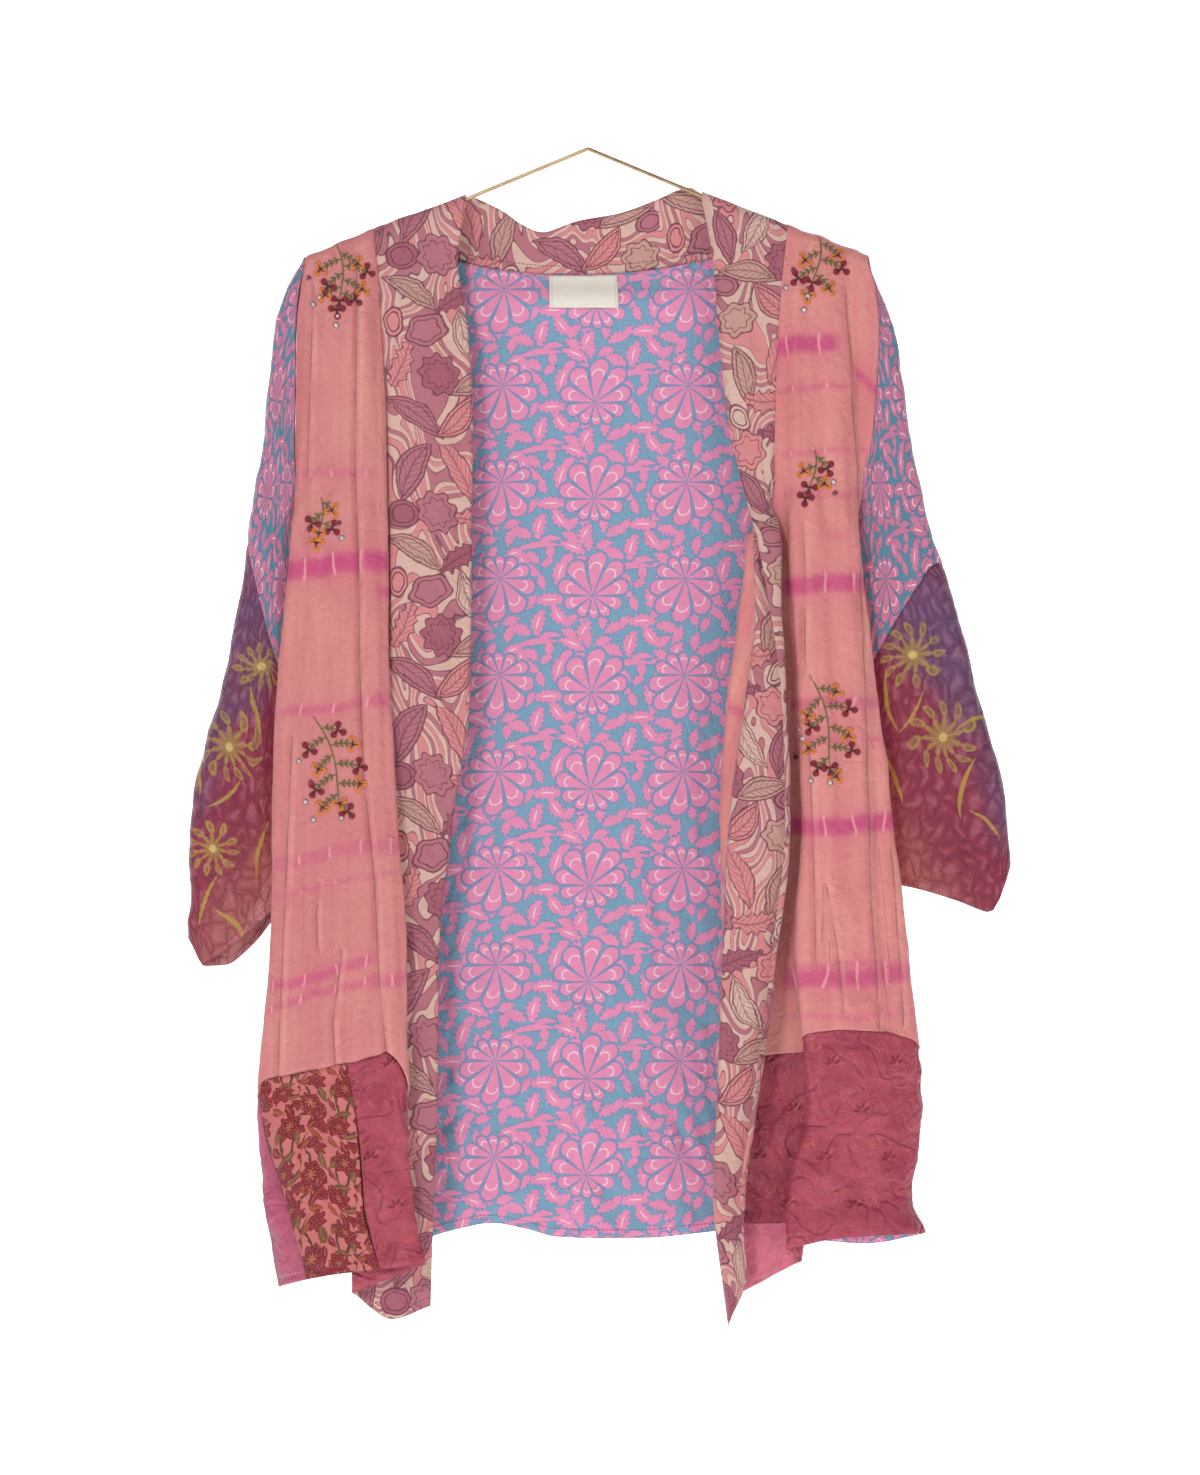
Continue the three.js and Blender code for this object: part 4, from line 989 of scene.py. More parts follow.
# %% Flowered silk
GARDEN_LEAVES = [(-17, 11, 60, 9, 3.3, 0.4), (-9, 23, 120, 8, 3.0, 0.3), (7, 17, 40, 9, 3.2, -0.4),
                 (18, 5, 110, 9, 3.3, 0.5), (19, -13, 70, 8, 3.2, -0.4), (4, -17, 140, 8, 3.0, 0.3),
                 (-12, -11, 30, 9, 3.2, 0.4), (-20, -23, 100, 8, 3.0, -0.4), (12, 27, 150, 8, 2.9, 0.3),
                 (-2, 4, 85, 8, 3.0, 0.5), (10, -28, 60, 8, 3.0, 0.4), (-20, 27, 140, 7, 2.8, 0.3),
                 (-5, -27, 20, 7, 2.6, 0.4), (-20, -3, 120, 6, 2.4, 0.3), (12, -3, 15, 6, 2.4, -0.3)]
GARDEN_BLOOMS = [(-9, 12, 9.0, 7), (14, 17, 7.0, 6), (9, -9, 10.0, 8), (-14, -21, 8.6, 7), (18, -25, 6.4, 6),
                 (-2, 29, 6.4, 6)]
GARDEN_STEMS = [(-6, 0, 75, 26, 0.9, 6.0), (10, -4, 100, 24, 0.9, -7.0), (-16, 2, 95, 20, 0.8, 5.0),
                (2, -22, 20, 16, 0.8, 5.0)]


def garden_paint(tree, x, y):
    """Stems, then leaves with a pale vein, then blooms with petal rays and rings, on a pink ground."""
    column = (x / 46.0).floor()
    shake = noise(tree, point(tree, x, y), 0.2, 2.0) - 0.5
    drop = (y + column * 21.0).wrap(-31.0, 31.0)
    spot = point(tree, x.wrap(-23.0, 23.0) + shake * 3.0, drop + shake * 2.0)
    stems = nearest([leaf(tree, spot, *row) for row in GARDEN_STEMS])
    shade = tint(tree, colour(202, 110, 110), colour(88, 50, 32), stems.smooth(0.7, 0.0))
    for k, tone in enumerate((colour(112, 78, 42), colour(126, 28, 42), colour(150, 62, 42))):
        rows = GARDEN_LEAVES[k::3]
        size = nearest([leaf(tree, spot, *row) for row in rows])
        vein = nearest([leaf(tree, spot, *row[:4], 0.5, row[5] * row[4] * 2) for row in rows])
        shade = coats(tree, shade, (tone, size.smooth(0.3, -0.2)),
                      (colour(176, 100, 76), vein.smooth(0.3, -0.1) * size.smooth(-0.4, -1.0) * 0.7))
    blooms = nearest([disc(tree, spot, bx, by, 0, size, size, lobes, 0.2)
                      for bx, by, size, lobes in GARDEN_BLOOMS])
    ray = noise(tree, spot, 0.8, 1.0).smooth(0.45, 0.6)
    red = tint(tree, colour(112, 14, 32), colour(150, 34, 48), ray)
    shade = coats(tree, shade, (red, blooms.smooth(0.3, -0.2)),
                  (colour(192, 98, 78), (blooms + 2.8).abs().smooth(0.5, 0.1) * 0.6),
                  (colour(92, 16, 32), (blooms + 5.0).abs().smooth(0.8, 0.3) * 0.8),
                  (colour(184, 104, 72), (blooms + 7.2).smooth(0.4, 0.0)))
    return stitches(tree, shade, colour(120, 40, 60))


silk("floral_silk", garden_paint, rough=0.5, sheen=0.25, grain=0.35, wrinkle=0.4)

# %% [markdown]
# ## Neckband print
# The neckband is cut from a beige silk with leaves, blooms and pebbles, each with a plum outline
# and some with a second line inside. Flat fills in mauve, rose and taupe sit in those outlines.

# %% Neckband print
BEIGE = colour(216, 176, 164)
MAUVE = colour(180, 110, 122)
ROSE = colour(214, 134, 136)
TAUPE = colour(198, 150, 140)
WINE = colour(164, 90, 106)
PLUM = colour(104, 46, 64)
BAND_SCALE = 1.32
BAND_MARKS = [
    # kind, x, y, turn, half length, half width, bow or lobes, wave or teeth, fill, inner line
    ("leaf", -24, 62, 62, 22, 8, 0.5, 0, MAUVE, 2.4), ("leaf", 6, 66, 118, 20, 7, -0.4, 0, ROSE, 0),
    ("leaf", 28, 58, 80, 19, 6.5, 0.3, 0, TAUPE, 2.2), ("disc", -30, 34, 20, 10, 8, 0, 0, WINE, 2.4),
    ("disc", -9, 38, 0, 12, 12, 8, 0.1, MAUVE, 4.0), ("leaf", 16, 38, 15, 17, 7.5, -0.5, 9, ROSE, 0),
    ("disc", 33, 33, 60, 9, 5, 0, 0, BEIGE, 1.8), ("leaf", -22, 14, -25, 19, 6.5, 0.6, 0, TAUPE, 2.2),
    ("leaf", 6, 14, 35, 20, 7, 0.5, 11, WINE, 0), ("disc", 30, 12, 0, 11, 11, 6, 0.12, ROSE, 3.6),
    ("disc", -32, -8, 90, 9, 5.5, 0, 0, ROSE, 1.8), ("disc", -12, -10, 30, 13, 9, 5, 0.08, MAUVE, 2.6),
    ("leaf", 12, -12, -60, 18, 7, -0.5, 0, BEIGE, 2.0), ("leaf", 33, -14, 75, 18, 6, 0.4, 0, MAUVE, 2.0),
    ("leaf", -26, -34, 70, 19, 7, -0.4, 9, ROSE, 0), ("disc", -3, -36, 0, 12, 12, 9, 0.1, WINE, 4.2),
    ("leaf", 20, -38, 20, 18, 6.5, 0.5, 0, TAUPE, 2.0), ("disc", 36, -44, 20, 9, 6, 0, 0, MAUVE, 2.0),
    ("leaf", -18, -62, -30, 20, 7, 0.5, 0, MAUVE, 2.2), ("leaf", 8, -62, 50, 18, 6.5, -0.5, 0, ROSE, 2.0),
    ("disc", 30, -66, 0, 11, 10, 7, 0.1, TAUPE, 3.4),
]


def band_paint(tree, x, y):
    """Nested pebble lines as ground, then each mark: its fill, its outline and its inner line."""
    x = x / BAND_SCALE
    y = y / BAND_SCALE
    bend_x = x + (y / 31.0).math("SINE") * 2.5
    lx = bend_x.wrap(-42.0, 42.0)
    shift = (bend_x / 84.0 + 0.5).floor() * 47.0
    ly = (y + shift).wrap(-79.0, 79.0)
    shake = noise(tree, point(tree, x, y), 0.14, 2.0) - 0.5
    spot = point(tree, lx + shake * 3.0, ly + shake * 2.0)
    stone = noise(tree, point(tree, x, y * 0.6), 0.034, 0.0, 0.5, 0.9) * 13.0
    inside = stone.math("FRACT")
    shade = ramp(tree, (stone / 4.0).math("FRACT"), [
        (0.0, BEIGE), (0.25, MAUVE), (0.5, BEIGE), (0.75, ROSE)], True)
    shade = tint(tree, shade, PLUM, (inside - 0.5).abs().smooth(0.43, 0.47) * 0.8)
    for kind, px, py, turned, length, width, a, b, flat, inner in BAND_MARKS:
        make = leaf if kind == "leaf" else disc
        size = make(tree, spot, px, py, turned, length, width, a, b)
        shade = tint(tree, shade, flat, size.smooth(0.25, -0.1))
        if kind == "leaf":
            p, q = place(tree, spot, px, py, turned, length, width)
            rib = ((p - q.abs() * 0.5) * 4.5).math("FRACT") - 0.5
            rib = rib.abs().smooth(0.12, 0.04).most((q + p * p * a).abs().smooth(0.10, 0.03))
            shade = tint(tree, shade, PLUM, rib * size.smooth(-0.5, -0.9) * 0.6)
        line = size.abs()
        if inner:
            line = line.least((size + inner).abs() + 0.12)
        shade = tint(tree, shade, PLUM, line.smooth(0.62, 0.3) * 0.85)
    return stitches(tree, shade, PLUM)


silk("band_print", band_paint, rough=0.55, sheen=0.25, grain=0.3, wrinkle=0.4, crinkle=0.5)

# %% [markdown]
# ## Batik of the sleeve ends
# Wax cracks in the dye bath, so batik shows a net of dark veins over cloudy colours. Olive yellow
# flowers and curled strokes were drawn in wax first.

# %% Batik silk
BATIK_BLOOMS = [(-286, -478, 27), (259, -405, 24), (284, -470, 28), (-300, -560, 20), (-262, -415, 18)]
BATIK_STROKES = [
    # x, z, turn, half length, half width, bow, teeth
    (-305, -600, 70, 24, 2.0, 1.2, 12), (-282, -618, 130, 20, 1.6, -2.2, 0),
    (-262, -560, 80, 26, 1.5, 2.4, 0), (-290, -520, 40, 20, 1.4, -3.0, 0),
    (-268, -450, 105, 22, 1.6, 2.0, 12), (-312, -500, 95, 20, 1.3, -2.0, 0),
    (240, -440, 100, 26, 1.6, 2.6, 0), (262, -450, 60, 22, 1.5, -2.4, 12), (300, -510, 75, 26, 1.8, 2.2, 0),
    (318, -540, 130, 20, 1.5, -2.0, 12), (246, -500, 110, 24, 1.5, -2.0, 0),
    (310, -455, 20, 18, 1.4, 2.6, 0),
]
PETALS = 11
SECTOR = 2 * math.pi / PETALS


def batik_paint(tree, x, y):
    """Cloudy magenta, violet and rose down the sleeve, cell veins, then yellow strokes and flowers.

    A flower has a short fan of petals in its middle and, for each sector, a thread to a spoon tip.
    """
    spot = point(tree, x, y)
    hang_x = attribute(tree, "hang_x")
    hang_z = attribute(tree, "hang_z")
    drift = noise(tree, spot, 0.014, 2.0) - 0.5
    down = (hang_z * -1.0 - 285.0 + drift * 130.0 + (hang_x.abs() - 280.0) * -1.5) / 400.0
    ground = ramp(tree, down, [
        (0.0, colour(144, 44, 78)), (0.10, colour(136, 54, 84)), (0.22, colour(100, 68, 108)),
        (0.36, colour(110, 62, 96)), (0.50, colour(140, 36, 64)), (0.68, colour(144, 46, 62)),
        (0.86, colour(170, 90, 86)), (0.97, colour(206, 138, 138))])
    swirl = point(tree, x + noise(tree, spot, 0.06) * 16.0, y + noise(tree, spot, 0.05) * 22.0)
    veins = []
    for scale, lean in ((0.095, 0.6), (0.22, 0.8)):
        stretch = add(tree, "Mapping", {"Vector": swirl, "Scale": (1.0, lean, 1.0)})
        cells = add(tree, "TexVoronoi", {"Vector": stretch.outputs[0], "Scale": scale, "Randomness": 1.0},
                    voronoi_dimensions="2D", feature="DISTANCE_TO_EDGE")
        veins.append(Wire(tree, cells.outputs["Distance"]))
    tile = point(tree, hang_x + drift * 12.0, hang_z + drift * 12.0)
    strokes = nearest([leaf(tree, tile, *row) for row in BATIK_STROKES])
    shade = coats(tree, ground, (colour(206, 140, 156), veins[0].smooth(0.12, 0.5) * 0.26),
                  (colour(104, 34, 66), veins[0].smooth(0.14, 0.0) * 0.50),
                  (colour(118, 44, 74), veins[1].smooth(0.08, 0.0) * 0.30),
                  (colour(182, 148, 62), strokes.smooth(0.6, -0.4) * 0.8))
    torn = noise(tree, spot, 0.12, 2.0).smooth(0.35, 0.6)
    for bx, by, big in BATIK_BLOOMS:
        p, q = place(tree, tile, bx, by)
        r = (p * p + q * q).math("SQRT")
        a = q.math("ARCTAN2", p)
        bend = a + (r / 9.0).math("SINE") * 0.16 + drift * 1.5
        fold = bend.wrap(-SECTOR / 2, SECTOR / 2)
        u = (r * fold.math("COSINE") - big * 0.84) / 1.9
        v = r * fold.math("SINE")
        spoon = (u * u + v * v).math("SQRT") - big * 0.095
        thread = v.abs().smooth(1.0, 0.4) * (r - big * 0.72).smooth(1.0, -1.0)
        half = ((bend * (PETALS / 2)).math("COSINE").abs() * 0.30 + 0.26) * big
        inside = ((r - half).smooth(1.0, -2.0)).most(spoon.smooth(0.6, -0.6))
        ring = ((r - half).abs().smooth(1.1, 0.3)).most(spoon.abs().smooth(1.2, 0.3)) * (torn * 0.6 + 0.4)
        ray = (bend * 22.0).math("SINE").abs().smooth(0.70, 1.0) * (r - half * 0.95).smooth(0.5, -1.5)
        ray = ray.most(thread)
        shade = coats(tree, shade, (colour(150, 116, 76), inside * 0.55),
                      (colour(182, 150, 64), (ring.most(ray * 0.8)).least(1.0) * 0.68),
                      (colour(214, 184, 112), r.smooth(4.2, 2.6) * 0.8))
    return stitches(tree, shade, colour(120, 50, 90), 6.0)


silk("batik_silk", batik_paint, rough=0.5, sheen=0.25, grain=0.3, wrinkle=0.6, crinkle=0.7)

# %% Label and brass
def label_paint(tree, x, y):
    """Cream damask with a fine twill and a woven margin."""
    twill = ((x + y) * 2.6).math("SINE") * 0.5 + 0.5
    shade = tint(tree, colour(238, 232, 220), colour(228, 220, 204), twill * 0.6)
    left = attribute(tree, "edge_l")
    right = attribute(tree, "edge_r")
    dash = (y / 2.4).math("FRACT").smooth(0.3, 0.4)
    side = ((left - 2.2).abs()).least((right - 2.2).abs()).smooth(0.5, 0.2)
    return tint(tree, shade, colour(170, 160, 150), side * dash * 0.7)


silk("label", label_paint, rough=0.6, sheen=0.1, grain=0.5, wrinkle=0.1)

brass, tree, shader = blank("brass_wire")
where = add(tree, "TexCoord").outputs["Object"]
stretch = add(tree, "Mapping", {"Vector": where, "Scale": (0.12, 1.0, 1.0)})
drawn = add(tree, "TexNoise", {"Vector": stretch.outputs[0], "Scale": 420.0, "Detail": 3.0}).outputs["Fac"]
metal = ramp(tree, drawn, [(0.3, colour(176, 148, 108)), (0.7, colour(206, 182, 142))])
rub = add(tree, "Bump", {"Strength": 0.15, "Distance": 0.0002, "Height": drawn})
fill(tree, shader, {"Metallic": 1.0, "Roughness": 0.34, "Base Color": metal, "Normal": rub.outputs[0]})
FINISH["brass_wire"] = brass
print("finishes", sorted(FINISH))

# %% [markdown]
# ## Cutting the fronts
# The seams between the front, its hem patches and the band run where the tables below say: a
# height for each lengthwise line, and for the leaning seams a column at each share of the way down.

# %% Rows and columns of the fronts
LEFT_PATCH_TOP = [-752, -755, -731.5, -717, -751, -748]
RIGHT_PATCH_TOP = [-719, -716, -702, -700, -707, -714, -720, -727, -735]
PLAIN_FLORAL = [(0, 2.04), (0.12, 3.02), (0.5, 3.42), (1, 3.68)]
FLORAL_RASPBERRY = [(0, 4.38), (0.45, 4.55), (0.7, 4.66), (0.85, 4.84), (1, 5.08)]
INNER_TOP = -857.0
STEP = 3.0


def row_at(grid, z, u):
    """Row where the cloth passes height z, for each column position u."""
    last = grid.shape[0] - 1
    rows = np.arange(last + 1)
    heights = np.stack([surface(grid, u, np.full(len(u), float(r)))[:, 2] for r in rows])
    z = np.broadcast_to(z, u.shape)
    k = np.clip((heights[2:] > z).sum(0) + 1, 2, last - 1)
    pick = np.arange(len(u))
    a = heights[k, pick]
    b = heights[k + 1, pick]
    return np.where(heights[last] > z, float(last), k + np.clip((a - z) / (a - b), 0, 1))


def patch_row(grid, names, ribs, heights, u):
    """Row of the patch seam at column positions u."""
    columns = [names.index(r) for r in ribs[:len(heights)]]
    return row_at(grid, np.interp(u, columns, heights), u)


def stretch_rows(v, low, high, u):
    """Rows v of a plain grid, squeezed between the rows low(u) and high(u)."""
    share = (v - v[0]) / (v[-1] - v[0])
    return low + (high - low) * share[:, None], np.broadcast_to(u, (len(v), len(u)))


left_ribs = list(LEFT_X)
right_ribs = list(RIGHT_X)
LAST = LEFT.shape[0] - 1.0
print("last row of the fronts", LAST)

# %% Left front, its hem patches and its band
LEFT_LINES = [
    # x0, z0, x1, z1, width, depth
    (-200, -95, -206, -760, 7, -1.8), (-226, -240, -238, -700, 4, 1.8), (-216, -130, -222, -420, 3, -1.4),
    (-192, -300, -198, -720, 4, 1.5), (-232, -460, -250, -740, 5, -1.7), (-204, -430, -212, -600, 2.5, 1.3),
    (-240, -560, -222, -730, 3, 1.3), (-222, -90, -206, -170, 2.5, 1.0),
    (-246, -600, -252, -740, 2.5, -1.2), (-210, -620, -196, -740, 2.2, -1.1),
    (-230, -350, -212, -430, 2.2, 0.9),
]
TIGHT = 1.7


def tight_fold(x, z, path, wide, high):
    """A tight crease along the path of (depth below the wire, x), and a roll of that width beside it.

    The crease is high exp(-(d / TIGHT) squared) and the roll is high sqrt(sin(pi d / wide)).
    """
    down, across = zip(*path)
    d = x - np.interp(-z, down, across)
    share = np.clip(d / wide, 0, 1)
    fade = np.clip((-z - down[0]) / 60, 0, 1)
    return (high * np.exp(-((d / TIGHT) ** 2)) - high * np.sqrt(np.sin(np.pi * share))) * fade


LEFT_CREASE = [(90, -184.5), (260, -185.6), (330, -182.8), (414, -181.8), (500, -178.6), (586, -169.5),
               (665, -166.0), (745, -158.0)]
RIGHT_CREASE = [(110, 205.0), (200, 210.0), (262, 214.0), (330, 216.0), (400, 218.5), (470, 221.0),
                (600, 224.0), (710, 232.0)]
# Pressed creases as paths of (depth below the wire, x); the pink finish paints a shadow line along each and a
# highlight beside it.
LEFT_PRESSED = [
    LEFT_CREASE, [(586, -214.5), (612, -216.0), (640, -215.0)], [(470, -236), (620, -242), (742, -247)],
    [(110, -219), (190, -222), (262, -224)], [(640, -196), (700, -203), (735, -201)],
]
RIGHT_PRESSED = [
    RIGHT_CREASE, [(300, 171), (330, 172.5), (420, 173)], [(478, 176), (560, 179), (650, 181)],
    [(590, 190), (640, 198), (690, 203)], [(560, 241), (640, 247), (700, 251)],
]


def front_relief(lines, path, fold, wave, crush):
    """Soft lengthwise drags, one rolled fold and a faint crumple."""
    pitch, climb, swing, phase = wave

    def relief(x, z, left, top, foot):
        calm = np.clip((z + 900) / 700, 0.3, 1)
        drag = 0.8 * np.sin(left / pitch + np.sin(z / climb) * swing + phase) * calm
        return crease_lines(x, z, lines) + drag + tight_fold(x, z, path, *fold) + crumple(x, z, *crush)
    return relief


def patch_relief(seed, size=30, amount=1.3):
    """Crumple of a satin patch, with drags down from its seam."""
    def relief(x, z, left, top, foot):
        drag = 0.8 * np.sin(left / 4.0 + 1.7 * np.sin(top / 30) + seed) * np.exp(-top / 80)
        flute = 0.9 * np.sin(left / 7.0 + seed) * np.exp(-foot / 25)
        return crumple(x, z, size, amount, seed, 1.6) + drag + flute
    return relief


def front_piece(node, grid, u0, u1, low, high, slot, relief, sewn, marks=None, lean=None, fixed=(5.0, 9.0),
                step=STEP):
    """A piece of a front between columns u0 and u1 and rows low and high, both functions of u."""
    us = even(grid, fixed, u0, u1, step, False)
    middle = np.array([(u0 + u1) / 2])
    v = even(grid, (float(middle[0]),), float(low(middle)[0]), float(high(middle)[0]), step, True)
    V, U = stretch_rows(v, low(us), high(us), us)
    if lean:
        t = np.linspace(0, 1, len(v))
        low_side, high_side = [np.interp(t, *zip(*path))[:, None] for path in lean]
        U = lerp(low_side, high_side, (us - u0) / (u1 - u0))
        flat = U.ravel()
        share = np.repeat((v - v[0]) / (v[-1] - v[0]), len(us))
        V = lerp(low(flat), high(flat), share).reshape(U.shape)
    return cloth(node, grid, U, V, slot, relief, sewn, marks=marks)


def top_of_cloth(u):
    """Row 0, behind the shoulder."""
    return np.zeros(len(u))


def hem_of_cloth(u):
    """The last row."""
    return np.full(len(u), LAST)


def left_seam(u):
    """Row of the seam over the left hem patches."""
    return patch_row(LEFT, LEFT_NAMES, left_ribs, LEFT_PATCH_TOP, u)


seam_l = LEFT_NAMES.index("seam")
a0 = PLAIN_FLORAL[0][1]
b0 = FLORAL_RASPBERRY[0][1]
side_edge = [(0, 0), (1, 0)]
band_edge = [(0, seam_l), (1, seam_l)]
left_marks = {"dye": dye(LEFT_DYE), "crease": pressed(LEFT_PRESSED)}
left_relief = front_relief(LEFT_LINES, LEFT_CREASE, (17.0, 3.2), (4.4, 90, 2.2, 0), (52, 0.75, 3, 4.0))
front_l = front_piece("front_left", LEFT, 0, seam_l, top_of_cloth, left_seam, "pink_silk", left_relief,
                      (1, 1, 0, 1), left_marks, step=2.2)
for part, u0, u1, seed, lean in (("plain", 0, a0, 11, (side_edge, PLAIN_FLORAL)),
                                 ("floral", a0, b0, 12, (PLAIN_FLORAL, FLORAL_RASPBERRY)),
                                 ("raspberry", b0, seam_l, 13, (FLORAL_RASPBERRY, band_edge))):
    slot = "mauve_silk" if part == "plain" else part + "_silk"
    front_piece("hem_left_" + part, LEFT, u0, u1, left_seam, hem_of_cloth, slot, patch_relief(seed),
                (1, 1, 1, 0), lean=lean, fixed=(12.0,))


def band_relief(seed):
    """Soft folds along a band, more of them lower down, where it hangs free."""
    def relief(x, z, left, top, foot):
        wave = 0.9 * np.sin(top / 17 + left / 14 + seed) * np.clip(top / 500, 0.1, 1)
        return crumple(x, z, 40, 0.8, seed, 1.8) + wave
    return relief


front_piece("band_left", LEFT, seam_l, LEFT.shape[1] - 1, top_of_cloth, hem_of_cloth, "band_print",
            band_relief(21), (1, 0, 1, 0))

# %% Right front, its hem patches and its band
RIGHT_LINES = [
    (166, -130, 168, -258, 2.2, 1.8), (183, -100, 206, -700, 6, -2.0), (170, -380, 176, -600, 2.4, 1.8),
    (165, -360, 170, -600, 4.0, -1.6), (200, -170, 226, -720, 3.5, 1.7), (214, -260, 222, -430, 2.5, -1.4),
    (226, -470, 240, -690, 3.5, -1.8), (170, -330, 186, -520, 2.5, 1.5), (192, -380, 196, -700, 3.5, 1.4),
    (212, -560, 236, -700, 2.5, 1.6), (178, -560, 190, -690, 2.5, -1.5), (184, -560, 222, -640, 2.2, 1.2),
    (196, -640, 246, -700, 2.5, -1.5), (172, -640, 214, -690, 2.2, 1.3), (232, -560, 250, -700, 2.2, 1.1),
    (172, -170, 196, -240, 2.2, 0.9),
]


def right_seam(u):
    """Row of the seam over the right hem patch."""
    return patch_row(RIGHT, RIGHT_NAMES, right_ribs, RIGHT_PATCH_TOP, u)


def inner_seam(u):
    """Row of the seam inside the right fold."""
    return row_at(RIGHT, INNER_TOP, u)


seam_r = RIGHT_NAMES.index("seam")
split = RIGHT_NAMES.index("valley+")
right_marks = {"dye": dye(RIGHT_DYE), "crease": pressed(RIGHT_PRESSED)}
right_relief = front_relief(RIGHT_LINES, RIGHT_CREASE, (15.0, 2.2), (4.6, 80, 2.4, 1), (46, 0.85, 5, 3.0))
front_r = front_piece("front_right", RIGHT, 0, seam_r, top_of_cloth, right_seam, "pink_silk", right_relief,
                      (1, 1, 0, 1), right_marks, step=2.5)
front_piece("hem_right_raspberry", RIGHT, 0, split, right_seam, hem_of_cloth, "raspberry_silk",
            patch_relief(14, 34, 1.5), (1, 0, 1, 0), fixed=(12.0,))
front_piece("hem_right_valley", RIGHT, split, seam_r, right_seam, inner_seam, "raspberry_silk",
            patch_relief(15), (0, 1, 1, 1), fixed=(12.0,))
front_piece("hem_right_inner", RIGHT, split, seam_r, inner_seam, hem_of_cloth, "pale_pink_silk",
            patch_relief(16), (0, 1, 1, 0), fixed=(12.0,))
front_piece("band_right", RIGHT, seam_r, RIGHT.shape[1] - 1, top_of_cloth, hem_of_cloth, "band_print",
            band_relief(22), (1, 0, 1, 0))

# %% [markdown]
# ## Back, collar, label and sleeves
# The back hangs nearly flat and carries the print. The collar keeps a roll at its upper edge, and
# the sleeves are tubes pressed flat, a little gathered where they leave the armhole.

# %% Back, collar and label
BACK_LINES = [
    (-110, -500, -60, -760, 5, 1.6), (-20, -620, 10, -860, 5, -1.6), (40, -300, 62, -700, 4, 1.8),
    (70, -420, 96, -640, 3.5, -1.6), (100, -330, 92, -620, 4, 1.4), (20, -480, 80, -700, 4, 1.5),
    (-90, -620, -30, -830, 4, -1.5), (30, -700, 100, -840, 4, 1.7), (-60, -760, 30, -850, 4, 1.6),
    (60, -250, 100, -460, 3, 1.2), (-30, -420, 20, -640, 4, 1.1), (85, -560, 40, -800, 4, 1.6),
    (-80, -300, -50, -560, 4, 0.9), (10, -300, 30, -480, 3.5, -0.9),
]


def back_relief(x, z, left, top, foot):
    """Nearly flat at the neck, crumpled in the lower half and fluted at the hem."""
    low = np.clip((-z - 330) / 420, 0.1, 1)
    crushed = crumple(x, z, 58, 1.5, 31, 1.5) + crumple(x, z, 22, 0.3, 32, 1.2)
    flute = 1.2 * np.sin(x / 9.0 + 1.5 * np.sin(x / 31)) * np.exp(-foot / 30)
    return (crease_lines(x, z, BACK_LINES) * 1.1 + crushed) * low + flute


def back_piece(node, u0, u1, v0, v1, slot, relief, sewn, step=STEP, **words):
    """A piece of the back between two columns and two rows."""
    us = even(BACK, (2.0, 6.0, 12.0), u0, u1, step, False)
    vs = even(BACK, (8.0,), v0, v1, step, True)
    U, V = np.meshgrid(us, vs)
    return cloth(node, BACK, U, V, slot, relief, sewn, inward=-1.0, **words)


back_piece("back_panel", 0, 17, 1.0, 13.0, "back_print", back_relief, (1, 1, 1, 0))


def collar_relief(x, z, left, top, foot):
    """Short drags down from the neck seam."""
    return 0.8 * np.sin(x / 8.0 + np.sin(x / 23) * 2) + crumple(x, z, 26, 0.5, 41)


BAND_ENDS = (2.23, 14.77)
U, V = np.meshgrid(even(BACK, (0.0, 1.0), *BAND_ENDS, 2.4, False), np.linspace(0, 1, 18))
cloth("band_neck", BACK, U, V, "band_print", collar_relief, (1, 1, 0, 1), inward=-1.0)
back_piece("neck_label", 8.0, 9.66, 1.05, 2.25, "label", None, (0, 0, 0, 0), 1.6, lift=-1.6, thick=0.6)

# %% Sleeves
HUNG = {"hang_x": lambda x, z: x, "hang_z": lambda x, z: z}
PATCH_SEAM = {"left": (3.15, 3.55), "right": (3.6, 3.2)}
SLEEVE_STEP = 3.4


def sleeve_relief(seed, low):
    """Wrinkles that run out from the armhole, and small crumples near the cuff."""
    def relief(x, z, left, top, foot):
        fade = np.exp(-np.minimum(foot, 400) / (90 if low else 400))
        drag = 0.7 * np.sin(x / 5.0 + z / 30 + seed)
        return crumple(x, z, 30, 1.0, seed, 2.0) + drag * (1 - fade * 0.5)
    return relief


for side, grid in (("left", SLEEVE_L), ("right", SLEEVE_R)):
    outer, inner = PATCH_SEAM[side]
    us = even(grid, (3.0, 5.0), 0, 10, SLEEVE_STEP, False)
    cut = lerp(outer, inner, np.abs(us - 5) / 5)
    for part, v0, v1, slot in (("top", 0 * cut, cut, "back_print"), ("low", cut, 0 * cut + 7, "batik_silk")):
        vs = even(grid, (2.5,), float(v0.mean()), float(v1.mean()), SLEEVE_STEP, True)
        V, U = stretch_rows(vs, v0, v1, us)
        sewn = (0, 0, part == "low", part == "top")
        inward = 1.0 if side == "right" else -1.0
        relief = sleeve_relief(51 + len(part + side), part == "low")
        cloth(f"sleeve_{side}_{part}", grid, U, V, slot, relief, sewn, inward=inward,
              start=int(len(us) * 0.25), tube=True, marks=HUNG)

# %% [markdown]
# ## Hanger
# One length of brass wire, bent to a shallow roof with a small nub left of its apex where the two
# arms meet.

